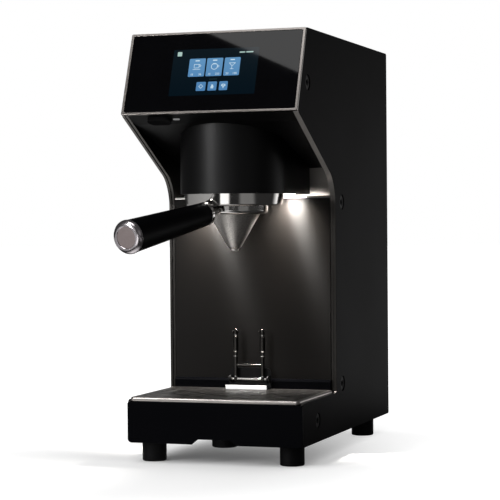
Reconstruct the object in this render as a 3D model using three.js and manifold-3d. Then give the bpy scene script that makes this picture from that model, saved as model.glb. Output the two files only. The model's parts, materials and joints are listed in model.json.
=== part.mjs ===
import * as THREE from 'three';
import { mergeVertices, toCreasedNormals } from 'three/addons/utils/BufferGeometryUtils.js';
import Module from 'manifold-3d';

// A commercial single-cup coffee brewer: a slim housing with a leaning glass display head, a brew
// group with a bayonet-locked portafilter and conical filter, and a lift-out drip tray.
// Lengths are in millimetres. X runs across, Y from the front to the back, Z up from the counter.

const wasm = await Module();
wasm.setup();

// Fits and facets
const fitGap = 0.3;
const pinGap = 0.15;
const cutOverrun = 1;
const facetError = 0.29;
const pinSides = 10;
const innerPartSides = 16;
const bevelSteps = 2;
const weldDistance = 0.0001;
const creaseAngle = THREE.MathUtils.degToRad(28);
// A rounded end stops a little short of a full half circle, so that no edge of zero length is left.
const fullRoundShare = 0.98;

// Housing
const bodyWidth = 195;
const bodyDepth = 354;
const bodyHeight = 435.5;
const bodyBottom = 21.5;
const bodyTop = bodyBottom + bodyHeight;
const sidePanelThickness = 3;
const cheekThickness = 2.9;
const sheetThickness = 2;
const outerCornerRadius = 4.5;
const smallCornerRadius = 2.5;
const panelInnerX = bodyWidth / 2 - sidePanelThickness;
const cheekOuterX = panelInnerX - fitGap;
const cheekInnerX = cheekOuterX - cheekThickness;
const innerHalfWidth = cheekInnerX - fitGap;

// Leaning display head
const headLean = THREE.MathUtils.degToRad(21);
const displayHeight = 94.3;
const displayTopY = 23.3;
const bezelThickness = 3;
const lipY = displayTopY - displayHeight * Math.sin(headLean);
const lipZ = bodyTop - displayHeight * Math.cos(headLean);
const plateLipY = lipY + (bezelThickness + fitGap) * Math.cos(headLean);
const plateLipZ = lipZ - (bezelThickness + fitGap) * Math.sin(headLean);

// Brew bay, as the side panels cut it
const bayCeilingSlope = THREE.MathUtils.degToRad(27.6);
const bayCornerRadius = 38.5;
const columnFrontY = 127.7;
const basePanelTop = 67.3;
const cheekSetback = 1;

// Base front panel and its drain notch
const frontPanelThickness = 2.5;
const plateFrontY = frontPanelThickness + fitGap;
const notchHeight = 5.5;
const notchHalfWidth = 25;
const notchTopHalfWidth = 18;
const panBottom = bodyBottom + notchHeight + fitGap;
const panFloorTop = panBottom + sheetThickness;
const panFlangeTop = 60;
const panRearFlangeHeight = 16;

// Drip tray and grille
const trayRimBottom = 65.5;
const trayRimTop = 70.2;
const trayRimFront = -0.5;
const trayRimBack = 124.3;
const trayRimCornerRadius = 4;
const trayRimEdge = 1.9;
const trayRimWidth = 4.6;
const trayLedgeWidth = 3;
const trayWall = 1.2;
const trayFloorBottom = 46;
const trayPanInset = 4.3;
const grilleThickness = 1.8;
const grilleSlotLength = 37;
const grilleSlotWidth = 5;
const grilleSlotPitchX = 43.5;
const grilleRowCount = 7;
const grilleRowPitch = 16;
const spoutRadius = 8;
const spoutWall = 1.5;
const spoutBottom = 26;
const cheekShelfTop = trayRimBottom - fitGap;

// Drain cup behind the notch
const drainY = 35;
const drainRadius = 13.7;
const drainWall = 1.5;
const drainBottom = 16;
const drainFlangeRadius = 17.5;
const drainOutletRadius = 5;

// Feet
const footRadius = 13;
const footEdge = 2;
const footInset = 20;
const rearFootInset = 48;
const footX = bodyWidth / 2 - footInset;
const frontFootY = 27.3;
const rearFootY = bodyDepth - rearFootInset;
const footStudRadius = 3;
const footStudTop = 36;

// Side bolts: flat heads sunk in the side panels
const headBoltY = 28.1;
const headBoltDrop = 57.1;
const bayBoltY = 153.7;
const bayBoltDrop = 180.8;
const columnBoltY = 152.3;
const columnBoltZ = 75.3;
const baseBoltY = 56.1;
const baseBoltZ = 44.2;
const boltPlaces = [
  [headBoltY, bodyTop - headBoltDrop],
  [bayBoltY, bodyTop - bayBoltDrop],
  [columnBoltY, columnBoltZ],
  [baseBoltY, baseBoltZ],
];
const boltSinkRadius = 8.3;
const boltSinkDepth = 2.4;
const boltHeadRadius = 7.9;
const boltHeadThickness = 1.2;
const boltHeadEdge = 0.4;
const boltShankRadius = 3;
const boltLength = 5.2;
const boltSocketRadius = 3.2;
const boltSocketDepth = 2;
const hexSides = 6;

// Hood underside, the wall behind it and the backsplash
const ceilingFoldY = 12.7;
const ceilingFoldDrop = 97.5;
const ceilingFoldZ = bodyTop - ceilingFoldDrop;
const hoodWallY = 161.9;
const ceilingRearDrop = 142.3;
const ceilingRearZ = bodyTop - ceilingRearDrop;
const hoodWallDrop = 112;
const hoodWallTop = bodyTop - hoodWallDrop;
const backsplashY = 128.2;
const backsplashDrop = 173.7;
const backsplashTop = bodyTop - backsplashDrop;
const backsplashThickness = 2.1;
const backsplashBend = 2.6;
const sillThickness = 3.2;
const sillBottom = 66;
const sillTop = 81;

// Bezel, glass and display module, measured on the leaning face
const bezelSideBorder = 3;
const bezelEndBorder = 2.6;
const bezelLedge = 3;
const bezelLedgeThickness = 0.9;
const bezelCornerRadius = 1.5;
const glassCornerRadius = 1;
const glassRecess = 0.4;
const glassThickness = 1.3;
const moduleLeft = -50;
const moduleRight = 52.5;
const moduleLow = 16;
const moduleTopBorder = 16.3;
const moduleHigh = displayHeight - moduleTopBorder;
const moduleDepth = 6;
const moduleBoardMargin = 6;
const moduleBoardThickness = 1.6;

// Push button and light window on the hood's front strip
const buttonInset = 39.1;
const buttonX = buttonInset - bodyWidth / 2;
const buttonWidth = 26.5;
const buttonDepth = 15.6;
const buttonReach = 3;
const buttonEdge = 0.8;
const buttonFlange = 1;
const buttonFlangeThickness = 1.5;
const indicatorPitch = 18.8;
const indicatorX = buttonX + indicatorPitch;
const indicatorWidth = 7.4;
const indicatorDepth = 3.4;
const indicatorReach = 0.4;
const indicatorHeight = 4;
const indicatorCornerRadius = 0.8;

// Brew group
const groupY = 71.4;
const groupDrop = 171.8;
const groupTop = bodyTop - groupDrop;
const shroudRadius = 57.8;
const shroudWall = 2;
const shroudBottom = groupTop + fitGap;
const shroudDrop = 89;
const shroudTop = bodyTop - shroudDrop;
const bellTopRadius = 54.1;
const bellBottomRadius = 51.5;
const bellHeight = 13.1;
const bellBottom = groupTop - bellHeight;
const bellEdge = 3;
const bellMouthRadius = 37.4;
const bellLedgeThickness = 2.9;
const lugChamberRadius = 41.6;
const gasketSeatDepth = 4.6;
const lugChamberTop = groupTop - gasketSeatDepth;
const gasketSeatRadius = 37;
const groupFlangeRadius = 50;
const groupFlangeThickness = 6;
const groupBodyRadius = 36;
const groupBodyHeight = 50.8;
const groupBodyTop = groupTop + groupBodyHeight;
const groupEdge = 2;
const groupArmHalfWidth = 16;
const groupArmRise = 17.8;
const groupArmHeight = 24;
const groupArmBottom = groupTop + groupArmRise;
const groupArmTop = groupArmBottom + groupArmHeight;
const groupArmReach = 18;
const waterBoreRadius = 4;
const gasketInnerRadius = 29.6;
const screenRadius = 29;
const screenThickness = 1.4;
const screenDrop = 4.4;
const screwHeadRadius = 7;
const screwHeadHeight = 2.4;
const screwLength = 22;

// Portafilter and filter
const portafilterRadius = 36.9;
const portafilterDrop = 6.2;
const portafilterHeight = 15.7;
const portafilterTop = groupTop - portafilterDrop;
const portafilterBottom = portafilterTop - portafilterHeight;
const portafilterBore = 30.5;
const portafilterEdge = 4;
const filterSeatRadius = 35;
const filterRimThickness = 1.5;
const filterWall = 1.2;
const coneLowRadius = 7.2;
const coneHighDrop = 16.7;
const coneHeight = 34.3;
const coneHighZ = portafilterTop - coneHighDrop;
const coneHighRadius = 26.9;
const coneLowZ = coneHighZ - coneHeight;
const filterSpoutRadius = 4.4;
const filterSpoutBore = 3;
const filterSpoutLength = 4;
const filterSpoutBottom = coneLowZ - filterSpoutLength;
const filterSpoutShoulder = 1.8;
const lugOuterRadius = 41.2;
const lugHalfAngle = THREE.MathUtils.degToRad(15);
const lugEntryHalfAngle = THREE.MathUtils.degToRad(18);
const unlockAngle = THREE.MathUtils.degToRad(-50);
const lugCount = 2;

// Handle, measured along its own sloping axis
const handleHeading = THREE.MathUtils.degToRad(14);
const handleTilt = THREE.MathUtils.degToRad(9.49);
const handleAxisDrop = 5.9;
const handleAxisZ = portafilterTop - handleAxisDrop;
const neckStart = 33;
const neckStartRadius = 4.4;
const neckEndRadius = 6.9;
const neckWidening = 1.5;
const ferruleStart = 54.5;
const ferruleShoulder = 57.2;
const ferruleEnd = 61;
const ferruleNoseRadius = 11;
const ferruleRadius = 12.9;
const ferruleEdge = 0.8;
const gripEnd = 192.7;
const gripStartRadius = 12.7;
const gripEndRadius = 17.1;
const gripEdge = 1.6;
const handleStudRadius = 4.3;
const handleStudEnd = 112;
const capStudStart = 148;
const capEnd = 199.1;
const capRadius = 17.5;
const capEdge = 5.2;
const capStep = 0.8;
const capFaceRadius = 11.4;
const capFaceDepth = 0.5;

// Lamps under the shroud
const lampX = 48;
const lampY = 115;
const lampRadius = 6;
const lampFlangeRadius = 7.5;
const lampFlangeThickness = 1.2;
const lampBodyHeight = 8;
const lampEdge = 0.5;

// Hinged cup rest on the grille
const restPinZ = 81;
const restPostX = 15.6;
const restPostY = 116.9;
const restTop = 137;
const bracketHalfWidth = 24;
const bracketTop = 93.3;
const bracketFrontY = 120.1;
const bracketThickness = 1.8;
const bracketCornerRadius = 5;
const bracketFootThickness = 1.5;
const bracketFootFrontY = 107.3;
const earGap = 2.3;
const earThickness = 2;
const earRadius = 4.2;
const lipThickness = 2.7;
const lipTop = 75;
const restLipHalfWidth = 23.5;
const restLipRadius = 0.9;
const restPinRadius = 1.5;
const postLowRadius = 2.1;
const postHighRadius = 3;
const postNeckRadius = 2.1;
const postHeadRadius = 2.7;
const postEyeRadius = 2.3;
const postShoulderZ = 111;
const postNeckZ = 127.5;
const postHeadZ = 130.4;
const postStep = 1.2;
const postDomeShare = 0.9;
const postBandRadius = 2.6;
const postBandZ = 106;
const crossRodRadius = 1.3;
const crossRodZ = 96.5;
const crossRodReach = 3.9;
const endPinRadius = 1.2;
const endPinZ = 133.6;
const endPinHalfLength = 3.9;

// Rear panel, its vents and its two inlets
const rearPanelThickness = 2.5;
const ventSlotWidth = 4.5;
const ventMargin = 31;
const ventSlotLength = 2 * (innerHalfWidth - ventMargin);
const ventSlotPitch = 11;
const ventCount = 9;
const ventDrop = 127;
const ventLowZ = bodyTop - ventDrop;
const waterInletInset = 36;
const waterInletX = waterInletInset - innerHalfWidth;
const waterInletZ = 62;
const waterNippleRadius = 10;
const waterNippleReach = 16;
const waterNippleBore = 7;
const waterBoreDepth = 24;
const waterFlangeRadius = 15;
const waterFlangeThickness = 3;
const waterBodyLength = 20;
const mainsInletInset = 41;
const mainsInletX = innerHalfWidth - mainsInletInset;
const mainsInletZ = 62;
const mainsBodyWidth = 27.5;
const mainsBodyHeight = 20;
const mainsBodyDepth = 22;
const mainsFlangeMargin = 3;
const mainsFlangeThickness = 2.2;
const mainsWall = 1.8;
const mainsSocketDepth = 16;
const mainsCornerRadius = 4;

// Top cover
const coverFlangeHeight = 12;

// Service shelf and what stands on it
const rearRoom = bodyDepth - hoodWallY;
const shelfZ = 180;
const shelfFrontY = 167;
const shelfFlange = 12;
const boilerPlaceShare = 0.52;
const boilerRadiusShare = 0.25;
const boilerY = hoodWallY + boilerPlaceShare * rearRoom;
const boilerRadius = boilerRadiusShare * rearRoom;
const boilerHeadroom = 127;
const boilerHeight = bodyTop - shelfZ - boilerHeadroom;
const boilerWall = 1.5;
const boilerDome = 14;
const boilerFootMargin = 6;
const boilerFootRadius = boilerRadius + boilerFootMargin;
const boilerFootThickness = 4;
const groupPipeZ = (groupArmBottom + groupArmTop) / 2;
const groupPipeRadius = 4;
const groupPipeNutRadius = 8;
const groupPipeNutLength = 9;
const feedPipeRadius = 4;
const feedPortOffset = 22;
const feedPipeRiseY = boilerY + feedPortOffset;
const feedPipeBend = 18;
const feedPipeSteps = 14;
const valveInset = 23;
const valveX = innerHalfWidth - valveInset;
const valveY = 190;
const valveBlock = 26;
const valveCoilRadius = 14;
const valveCoilHeight = 34;
const boardHeight = 130;
const boardDepth = 90;
const boardThickness = 1.6;
const boardStandoff = 8;
const boardStandoffRadius = 3;
const boardY = 200;
const boardZ = 200;
const boardPostInset = 8;
const boardChip = 24;

// What stands on the base pan
const supplyAcrossShare = 0.5275;
const supplyPlaceShare = 0.146;
const supplyDepthShare = 0.573;
const supplyX = supplyAcrossShare * innerHalfWidth;
const supplyY = hoodWallY + supplyPlaceShare * rearRoom;
const supplyWidth = 52;
const supplyDepth = supplyDepthShare * rearRoom;
const supplyHeight = 42;
const supplyTerminalDepth = 14;
const supplyTerminalHeight = 18;
const pumpAcrossShare = -0.154;
const pumpPlaceShare = 0.094;
const pumpLengthShare = 0.344;
const pumpX = pumpAcrossShare * innerHalfWidth;
const pumpY = hoodWallY + pumpPlaceShare * rearRoom;
const pumpRadius = 21;
const pumpLength = pumpLengthShare * rearRoom;
const pumpFootHeight = 12;
const pumpFootWidth = 34;
const pumpNozzleRadius = 6;
const pumpNozzleLength = 12;
const pumpAxisZ = panFloorTop + fitGap + pumpFootHeight + pumpRadius;
const meterAcrossShare = -0.66;
const meterRadiusShare = 0.176;
const meterX = meterAcrossShare * innerHalfWidth;
const meterY = 200;
const meterRadius = meterRadiusShare * innerHalfWidth;
const meterHeight = 22;
const meterPortRadius = 5;
const meterPortGap = 1;
const meterPortReach = pumpX - pumpRadius - meterX - meterPortGap;
const meterStandRadius = 10;
const meterStandHeight = 14;

const paint = (color, roughness, metalness) =>
  new THREE.MeshStandardMaterial({ color, roughness, metalness });
const blackGlossPaint = paint(0x101012, 0.32, 0.1);
const blackSatinPaint = paint(0x18181a, 0.5, 0.1);
const blackGlass = paint(0x050507, 0.05, 0);
const champagneMetal = paint(0xb9ada3, 0.25, 1);
const chrome = paint(0xd8d6d2, 0.08, 1);
const brushedSteel = paint(0x9a958e, 0.35, 1);
const etchedSteel = paint(0xb4afa8, 0.45, 1);
const blackPlastic = paint(0x141415, 0.6, 0);
const softBlack = paint(0x17181a, 0.75, 0);
const whiteSilicone = paint(0xf4f3f0, 0.5, 0);
const lampWhite = paint(0xffffff, 0.4, 0);
const galvanisedSteel = paint(0x8b8e90, 0.5, 1);
const brass = paint(0xb89450, 0.35, 1);
const boardGreen = paint(0x1f5a38, 0.6, 0);
const sealRubber = paint(0x33302d, 0.85, 0);

// Outlines and solids

function arcSteps(radius, sweep) {
  const finest = Math.min(facetError / radius, 1);
  return Math.max(2, Math.ceil(sweep / (2 * Math.acos(1 - finest))));
}

// An outline of [u, v, corner radius] points, with each named corner rounded.
function rounded(corners) {
  return corners.flatMap(([u, v, radius = 0], index) => {
    const corner = new THREE.Vector2(u, v);
    if (radius === 0) return [corner];
    const before = corners.at(index - 1);
    const after = corners.at((index + 1) % corners.length);
    const back = new THREE.Vector2(before[0], before[1]).sub(corner).normalize();
    const ahead = new THREE.Vector2(after[0], after[1]).sub(corner).normalize();
    const half = Math.acos(THREE.MathUtils.clamp(back.dot(ahead), -1, 1)) / 2;
    const turn = -Math.sign(back.cross(ahead));
    const middle = back.clone().add(ahead).normalize().multiplyScalar(radius / Math.sin(half));
    const start = back.clone().multiplyScalar(radius / Math.tan(half)).sub(middle);
    const sweep = Math.PI - 2 * half;
    const steps = arcSteps(radius, sweep);
    const origin = new THREE.Vector2();
    return Array.from({ length: steps + 1 }, (_, step) =>
      start.clone().rotateAround(origin, (turn * sweep * step) / steps).add(middle).add(corner));
  });
}

function box(left, low, right, high, radius = 0) {
  return rounded([[left, low, radius], [right, low, radius], [right, high, radius], [left, high, radius]]);
}

function circle(radius, u = 0, v = 0, sides = arcSteps(radius, 2 * Math.PI)) {
  return Array.from({ length: sides }, (_, step) => {
    const angle = (2 * Math.PI * step) / sides;
    return new THREE.Vector2(u + radius * Math.cos(angle), v + radius * Math.sin(angle));
  });
}

// Half a circle in front of a square back, as the shroud has it seen from above.
function drum(radius, backY) {
  const steps = arcSteps(radius, Math.PI);
  const front = Array.from({ length: steps + 1 }, (_, step) => {
    const angle = Math.PI + (Math.PI * step) / steps;
    return new THREE.Vector2(radius * Math.cos(angle), groupY + radius * Math.sin(angle));
  });
  return [...front, new THREE.Vector2(radius, backY), new THREE.Vector2(-radius, backY)];
}

function sector(innerRadius, outerRadius, middleAngle, halfAngle) {
  const steps = arcSteps(outerRadius, 2 * halfAngle);
  const arc = (radius, from, to) => Array.from({ length: steps + 1 }, (_, step) => {
    const angle = from + ((to - from) * step) / steps;
    return new THREE.Vector2(radius * Math.cos(angle), radius * Math.sin(angle));
  });
  const low = middleAngle - halfAngle;
  const high = middleAngle + halfAngle;
  return [...arc(outerRadius, low, high), ...arc(innerRadius, high, low)];
}

// Prisms: up the Z axis, across the X axis, and towards the back along Y.
function upright(outline, low, high, edge = 0) {
  const geometry = new THREE.ExtrudeGeometry(new THREE.Shape(outline), {
    depth: high - low - 2 * edge,
    bevelEnabled: edge > 0,
    bevelThickness: edge,
    bevelSize: edge,
    bevelOffset: -edge,
    bevelSegments: bevelSteps,
  });
  return geometry.translate(0, 0, low + edge);
}

function across(outline, left, right, edge = 0) {
  const turn = new THREE.Matrix4().set(0, 0, 1, 0, 1, 0, 0, 0, 0, 1, 0, 0, 0, 0, 0, 1);
  return upright(outline, left, right, edge).applyMatrix4(turn);
}

function backwards(outline, front, back, edge = 0) {
  return upright(outline, -back, -front, edge).rotateX(Math.PI / 2);
}

// A turned piece about Z: the profile holds [radius, height, corner radius] points.
function turned(profile, sides) {
  const outline = rounded(profile);
  const widest = Math.max(...outline.map((point) => point.x));
  return new THREE.LatheGeometry([...outline, outline[0]], sides ?? arcSteps(widest, 2 * Math.PI))
    .rotateX(Math.PI / 2);
}

function turnedAcross(profile) {
  return turned(profile).rotateY(Math.PI / 2);
}

function turnedBackwards(profile, sides) {
  return turned(profile, sides).rotateX(-Math.PI / 2);
}

function rod(radius, low, high) {
  return upright(circle(radius), low, high);
}

function signedVolume(positions, corners) {
  const [a, b, c] = [0, 0, 0].map(() => new THREE.Vector3());
  let volume = 0;
  for (let index = 0; index < corners.length; index += 3) {
    a.fromBufferAttribute(positions, corners[index]);
    b.fromBufferAttribute(positions, corners[index + 1]);
    c.fromBufferAttribute(positions, corners[index + 2]);
    volume += a.dot(b.cross(c)) / 6;
  }
  return volume;
}

// A closed solid from a geometry: shared corners welded, flat slivers dropped, faces turned outwards.
function solid(geometry) {
  const bare = new THREE.BufferGeometry();
  bare.setAttribute('position', geometry.getAttribute('position'));
  bare.setIndex(geometry.getIndex());
  const welded = mergeVertices(bare, weldDistance);
  const positions = welded.getAttribute('position');
  const index = welded.getIndex().array;
  const triangles = [];
  for (let first = 0; first < index.length; first += 3) {
    const [a, b, c] = index.slice(first, first + 3);
    if (a !== b && b !== c && c !== a) triangles.push(a, b, c);
  }
  if (signedVolume(positions, triangles) < 0) triangles.reverse();
  return new wasm.Manifold(new wasm.Mesh({
    numProp: 3,
    vertProperties: new Float32Array(positions.array),
    triVerts: new Uint32Array(triangles),
  }));
}

function join(...geometries) {
  return geometries.map(solid).reduce((whole, next) => whole.add(next));
}

function cut(whole, ...geometries) {
  return geometries.map(solid).reduce((rest, tool) => rest.subtract(tool), whole);
}

function piece(name, shape, material) {
  const { vertProperties, triVerts } = shape.getMesh();
  const geometry = new THREE.BufferGeometry();
  geometry.setAttribute('position', new THREE.BufferAttribute(vertProperties, 3));
  geometry.setIndex(new THREE.BufferAttribute(triVerts, 1));
  const mesh = new THREE.Mesh(toCreasedNormals(geometry, creaseAngle), material);
  mesh.name = name;
  return mesh;
}

// Where two lines cross, each given by a point and a direction.
function crossing(pointA, directionA, pointB, directionB) {
  const reach = pointB.clone().sub(pointA).cross(directionB) / directionA.cross(directionB);
  return pointA.clone().addScaledVector(directionA, reach);
}

// Housing plates

// The outline of a side plate in Y and Z, drawn in from the outer panel's edges by an inset.
function sideOutline(inset, shelfTop) {
  const faceUp = new THREE.Vector2(Math.sin(headLean), Math.cos(headLean));
  const faceIn = new THREE.Vector2(Math.cos(headLean), -Math.sin(headLean));
  const ceilingBack = new THREE.Vector2(Math.cos(bayCeilingSlope), -Math.sin(bayCeilingSlope));
  const ceilingUp = new THREE.Vector2(Math.sin(bayCeilingSlope), Math.cos(bayCeilingSlope));
  const plateLip = new THREE.Vector2(plateLipY, plateLipZ);
  const onFace = plateLip.clone().addScaledVector(faceIn, inset);
  const onCeiling = plateLip.clone().addScaledVector(ceilingUp, inset);
  const level = new THREE.Vector2(1, 0);
  const plumb = new THREE.Vector2(0, 1);
  const top = bodyTop - inset;
  const columnFront = columnFrontY + inset;
  const head = crossing(onFace, faceUp, new THREE.Vector2(0, top), level);
  const lip = crossing(onFace, faceUp, onCeiling, ceilingBack);
  const bayCorner = crossing(onCeiling, ceilingBack, new THREE.Vector2(columnFront, 0), plumb);
  return rounded([
    [plateFrontY + inset, bodyBottom + inset, outerCornerRadius],
    [bodyDepth - inset, bodyBottom + inset, smallCornerRadius],
    [bodyDepth - inset, top, smallCornerRadius],
    [head.x, head.y, smallCornerRadius],
    [lip.x, lip.y, smallCornerRadius],
    [bayCorner.x, bayCorner.y, bayCornerRadius],
    [columnFront, shelfTop, smallCornerRadius],
    [plateFrontY + inset, shelfTop, smallCornerRadius],
  ]);
}

function boltHoles(radius, left, right) {
  return boltPlaces.map(([y, z]) => across(circle(radius, y, z), left, right));
}

function sidePanel(side) {
  const inner = side * panelInnerX;
  const outer = side * bodyWidth / 2;
  const sinkFloor = outer - side * boltSinkDepth;
  const low = Math.min(inner, outer);
  const high = Math.max(inner, outer);
  const past = side * cutOverrun;
  return cut(
    solid(across(sideOutline(0, basePanelTop), low, high)),
    ...boltHoles(boltShankRadius + fitGap, low - cutOverrun, high + cutOverrun),
    ...boltHoles(boltSinkRadius, Math.min(sinkFloor, outer + past), Math.max(sinkFloor, outer + past)),
  );
}

function frameCheek(side) {
  const low = Math.min(side * cheekInnerX, side * cheekOuterX);
  const high = Math.max(side * cheekInnerX, side * cheekOuterX);
  return cut(
    solid(across(sideOutline(cheekSetback, cheekShelfTop), low, high)),
    ...boltHoles(boltShankRadius + fitGap, low - cutOverrun, high + cutOverrun),
  );
}

// A bolt along +X with its head outwards, set at the origin of its shank's tip.
function sideBolt() {
  const headStart = boltLength - boltHeadThickness;
  const shape = solid(turnedAcross([
    [0, 0],
    [boltShankRadius, 0],
    [boltShankRadius, headStart],
    [boltHeadRadius, headStart],
    [boltHeadRadius, boltLength - boltHeadEdge],
    [boltHeadRadius - boltHeadEdge, boltLength],
    [0, boltLength],
  ]));
  const socket = across(circle(boltSocketRadius, 0, 0, hexSides), boltLength - boltSocketDepth,
    boltLength + cutOverrun);
  return cut(shape, socket);
}

function baseFrontPanel() {
  const half = bodyWidth / 2;
  const notchTop = bodyBottom + notchHeight;
  return solid(backwards(rounded([
    [-half, bodyBottom, outerCornerRadius],
    [-notchHalfWidth, bodyBottom, smallCornerRadius],
    [-notchTopHalfWidth, notchTop, smallCornerRadius],
    [notchTopHalfWidth, notchTop, smallCornerRadius],
    [notchHalfWidth, bodyBottom, smallCornerRadius],
    [half, bodyBottom, outerCornerRadius],
    [half, cheekShelfTop, smallCornerRadius],
    [-half, cheekShelfTop, smallCornerRadius],
  ]), 0, frontPanelThickness));
}

function basePan() {
  const back = bodyDepth - rearPanelThickness - fitGap;
  const profile = rounded([
    [plateFrontY, panBottom, sheetThickness],
    [back, panBottom, sheetThickness],
    [back, panBottom + panRearFlangeHeight],
    [back - sheetThickness, panBottom + panRearFlangeHeight],
    [back - sheetThickness, panFloorTop],
    [plateFrontY + sheetThickness, panFloorTop],
    [plateFrontY + sheetThickness, panFlangeTop],
    [plateFrontY, panFlangeTop],
  ]);
  const hole = (radius, x, y) =>
    upright(circle(radius, x, y), panBottom - cutOverrun, panFloorTop + cutOverrun);
  const studHoles = [-footX, footX].flatMap((x) =>
    [frontFootY, rearFootY].map((y) => hole(footStudRadius + fitGap, x, y)));
  return cut(
    solid(across(profile, -innerHalfWidth, innerHalfWidth)),
    hole(drainRadius + fitGap, 0, drainY),
    ...studHoles,
  );
}

function topCover() {
  const profile = [
    [-innerHalfWidth, bodyTop - coverFlangeHeight],
    [-innerHalfWidth, bodyTop, smallCornerRadius],
    [innerHalfWidth, bodyTop, smallCornerRadius],
    [innerHalfWidth, bodyTop - coverFlangeHeight],
    [innerHalfWidth - sheetThickness, bodyTop - coverFlangeHeight],
    [innerHalfWidth - sheetThickness, bodyTop - sheetThickness],
    [-innerHalfWidth + sheetThickness, bodyTop - sheetThickness],
    [-innerHalfWidth + sheetThickness, bodyTop - coverFlangeHeight],
  ];
  const front = plateLipY + (bodyTop - plateLipZ) * Math.tan(headLean);
  return solid(backwards(rounded(profile), front, bodyDepth - rearPanelThickness - fitGap));
}

function rearPanel() {
  const front = bodyDepth - rearPanelThickness;
  const low = panBottom;
  const outline = box(-innerHalfWidth, low, innerHalfWidth, bodyTop, smallCornerRadius);
  const vents = Array.from({ length: ventCount }, (_, row) => {
    const z = ventLowZ + row * ventSlotPitch;
    return box(-ventSlotLength / 2, z, ventSlotLength / 2, z + ventSlotWidth,
      ventSlotWidth / 2 * fullRoundShare);
  });
  const mainsHole = box(
    mainsInletX - mainsBodyWidth / 2 - fitGap, mainsInletZ - mainsBodyHeight / 2 - fitGap,
    mainsInletX + mainsBodyWidth / 2 + fitGap, mainsInletZ + mainsBodyHeight / 2 + fitGap,
    mainsCornerRadius,
  );
  const waterHole = circle(waterNippleRadius + fitGap, waterInletX, waterInletZ);
  return cut(
    solid(backwards(outline, front, bodyDepth)),
    ...[...vents, mainsHole, waterHole].map((hole) =>
      backwards(hole, front - cutOverrun, bodyDepth + cutOverrun)),
  );
}

function backsplash() {
  const back = hoodWallY + sheetThickness;
  const profile = rounded([
    [backsplashY, panFloorTop + fitGap],
    [backsplashY + backsplashThickness, panFloorTop + fitGap],
    [backsplashY + backsplashThickness, backsplashTop - backsplashThickness,
      backsplashBend - backsplashThickness],
    [back, backsplashTop - backsplashThickness],
    [back, backsplashTop],
    [backsplashY, backsplashTop, backsplashBend],
  ]);
  return solid(across(profile, -innerHalfWidth, innerHalfWidth));
}

function backsplashSill() {
  const back = backsplashY - fitGap;
  const outline = rounded([
    [back - sillThickness, sillBottom],
    [back, sillBottom],
    [back, sillTop],
    [back - sillThickness, sillTop, smallCornerRadius],
  ]);
  return solid(across(outline, -innerHalfWidth, innerHalfWidth));
}

function hoodRearWall() {
  const wall = solid(backwards(
    box(-innerHalfWidth, backsplashTop + fitGap, innerHalfWidth, hoodWallTop),
    hoodWallY, hoodWallY + sheetThickness,
  ));
  const armHole = backwards(
    box(-groupArmHalfWidth - fitGap, groupArmBottom - fitGap,
      groupArmHalfWidth + fitGap, groupArmTop + fitGap, groupEdge),
    hoodWallY - cutOverrun, hoodWallY + sheetThickness + cutOverrun,
  );
  return cut(wall, armHole);
}

// The strip that carries the button: in its own frame Y runs back along it and Z up through it.
const stripRun = ceilingFoldY - plateLipY;
const stripDrop = plateLipZ - ceilingFoldZ;
const stripAngle = Math.atan2(stripDrop, stripRun);
const stripFrame = new THREE.Matrix4().makeRotationX(-stripAngle)
  .setPosition(0, plateLipY + stripRun / 2, plateLipZ - stripDrop / 2);

function buttonOutline(margin) {
  const halfWidth = buttonWidth / 2 + margin;
  const halfDepth = buttonDepth / 2 + margin;
  return box(buttonX - halfWidth, -halfDepth, buttonX + halfWidth, halfDepth, halfDepth * fullRoundShare);
}

function indicatorOutline(margin) {
  const halfWidth = indicatorWidth / 2 + margin;
  const halfDepth = indicatorDepth / 2 + margin;
  return box(indicatorX - halfWidth, -halfDepth, indicatorX + halfWidth, halfDepth, indicatorCornerRadius);
}

function hoodUnderside() {
  const back = hoodWallY - fitGap;
  const profile = [
    [plateLipY, plateLipZ],
    [ceilingFoldY, ceilingFoldZ],
    [back, ceilingRearZ],
    [back, ceilingRearZ + sheetThickness],
    [ceilingFoldY, ceilingFoldZ + sheetThickness],
    [plateLipY + sheetThickness * Math.tan(headLean), plateLipZ + sheetThickness],
  ];
  const through = (outline) =>
    upright(outline, -cutOverrun, sheetThickness + cutOverrun).applyMatrix4(stripFrame);
  return cut(
    solid(across(rounded(profile), -innerHalfWidth, innerHalfWidth)),
    upright(drum(shroudRadius + fitGap, back + cutOverrun), shroudBottom, shroudTop + cutOverrun),
    through(buttonOutline(fitGap)),
    through(indicatorOutline(fitGap)),
  );
}

// Display head, built flat: Y runs up the leaning face and Z out of it.

function displayBezel() {
  const half = bodyWidth / 2;
  const outer = upright(box(-half, 0, half, displayHeight, bezelCornerRadius), -bezelThickness, 0);
  const pocket = upright(
    box(-half + bezelSideBorder, bezelEndBorder, half - bezelSideBorder, displayHeight - bezelEndBorder,
      glassCornerRadius),
    -bezelThickness + bezelLedgeThickness, cutOverrun,
  );
  const side = bezelSideBorder + bezelLedge;
  const end = bezelEndBorder + bezelLedge;
  const opening = upright(
    box(-half + side, end, half - side, displayHeight - end, glassCornerRadius),
    -bezelThickness - cutOverrun, cutOverrun,
  );
  return cut(solid(outer), pocket, opening);
}

function displayGlass() {
  const half = bodyWidth / 2 - bezelSideBorder - fitGap;
  const end = bezelEndBorder + fitGap;
  return solid(upright(
    box(-half, end, half, displayHeight - end, glassCornerRadius),
    -glassRecess - glassThickness, -glassRecess,
  ));
}

function displayModule() {
  const front = -glassRecess - glassThickness - fitGap;
  const back = front - moduleDepth;
  const screen = upright(box(moduleLeft, moduleLow, moduleRight, moduleHigh), back, front);
  const board = upright(
    box(moduleLeft - moduleBoardMargin, moduleLow - moduleBoardMargin,
      moduleRight + moduleBoardMargin, moduleHigh + moduleBoardMargin, smallCornerRadius),
    back - moduleBoardThickness, back + weldDistance,
  );
  return join(screen, board);
}

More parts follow.
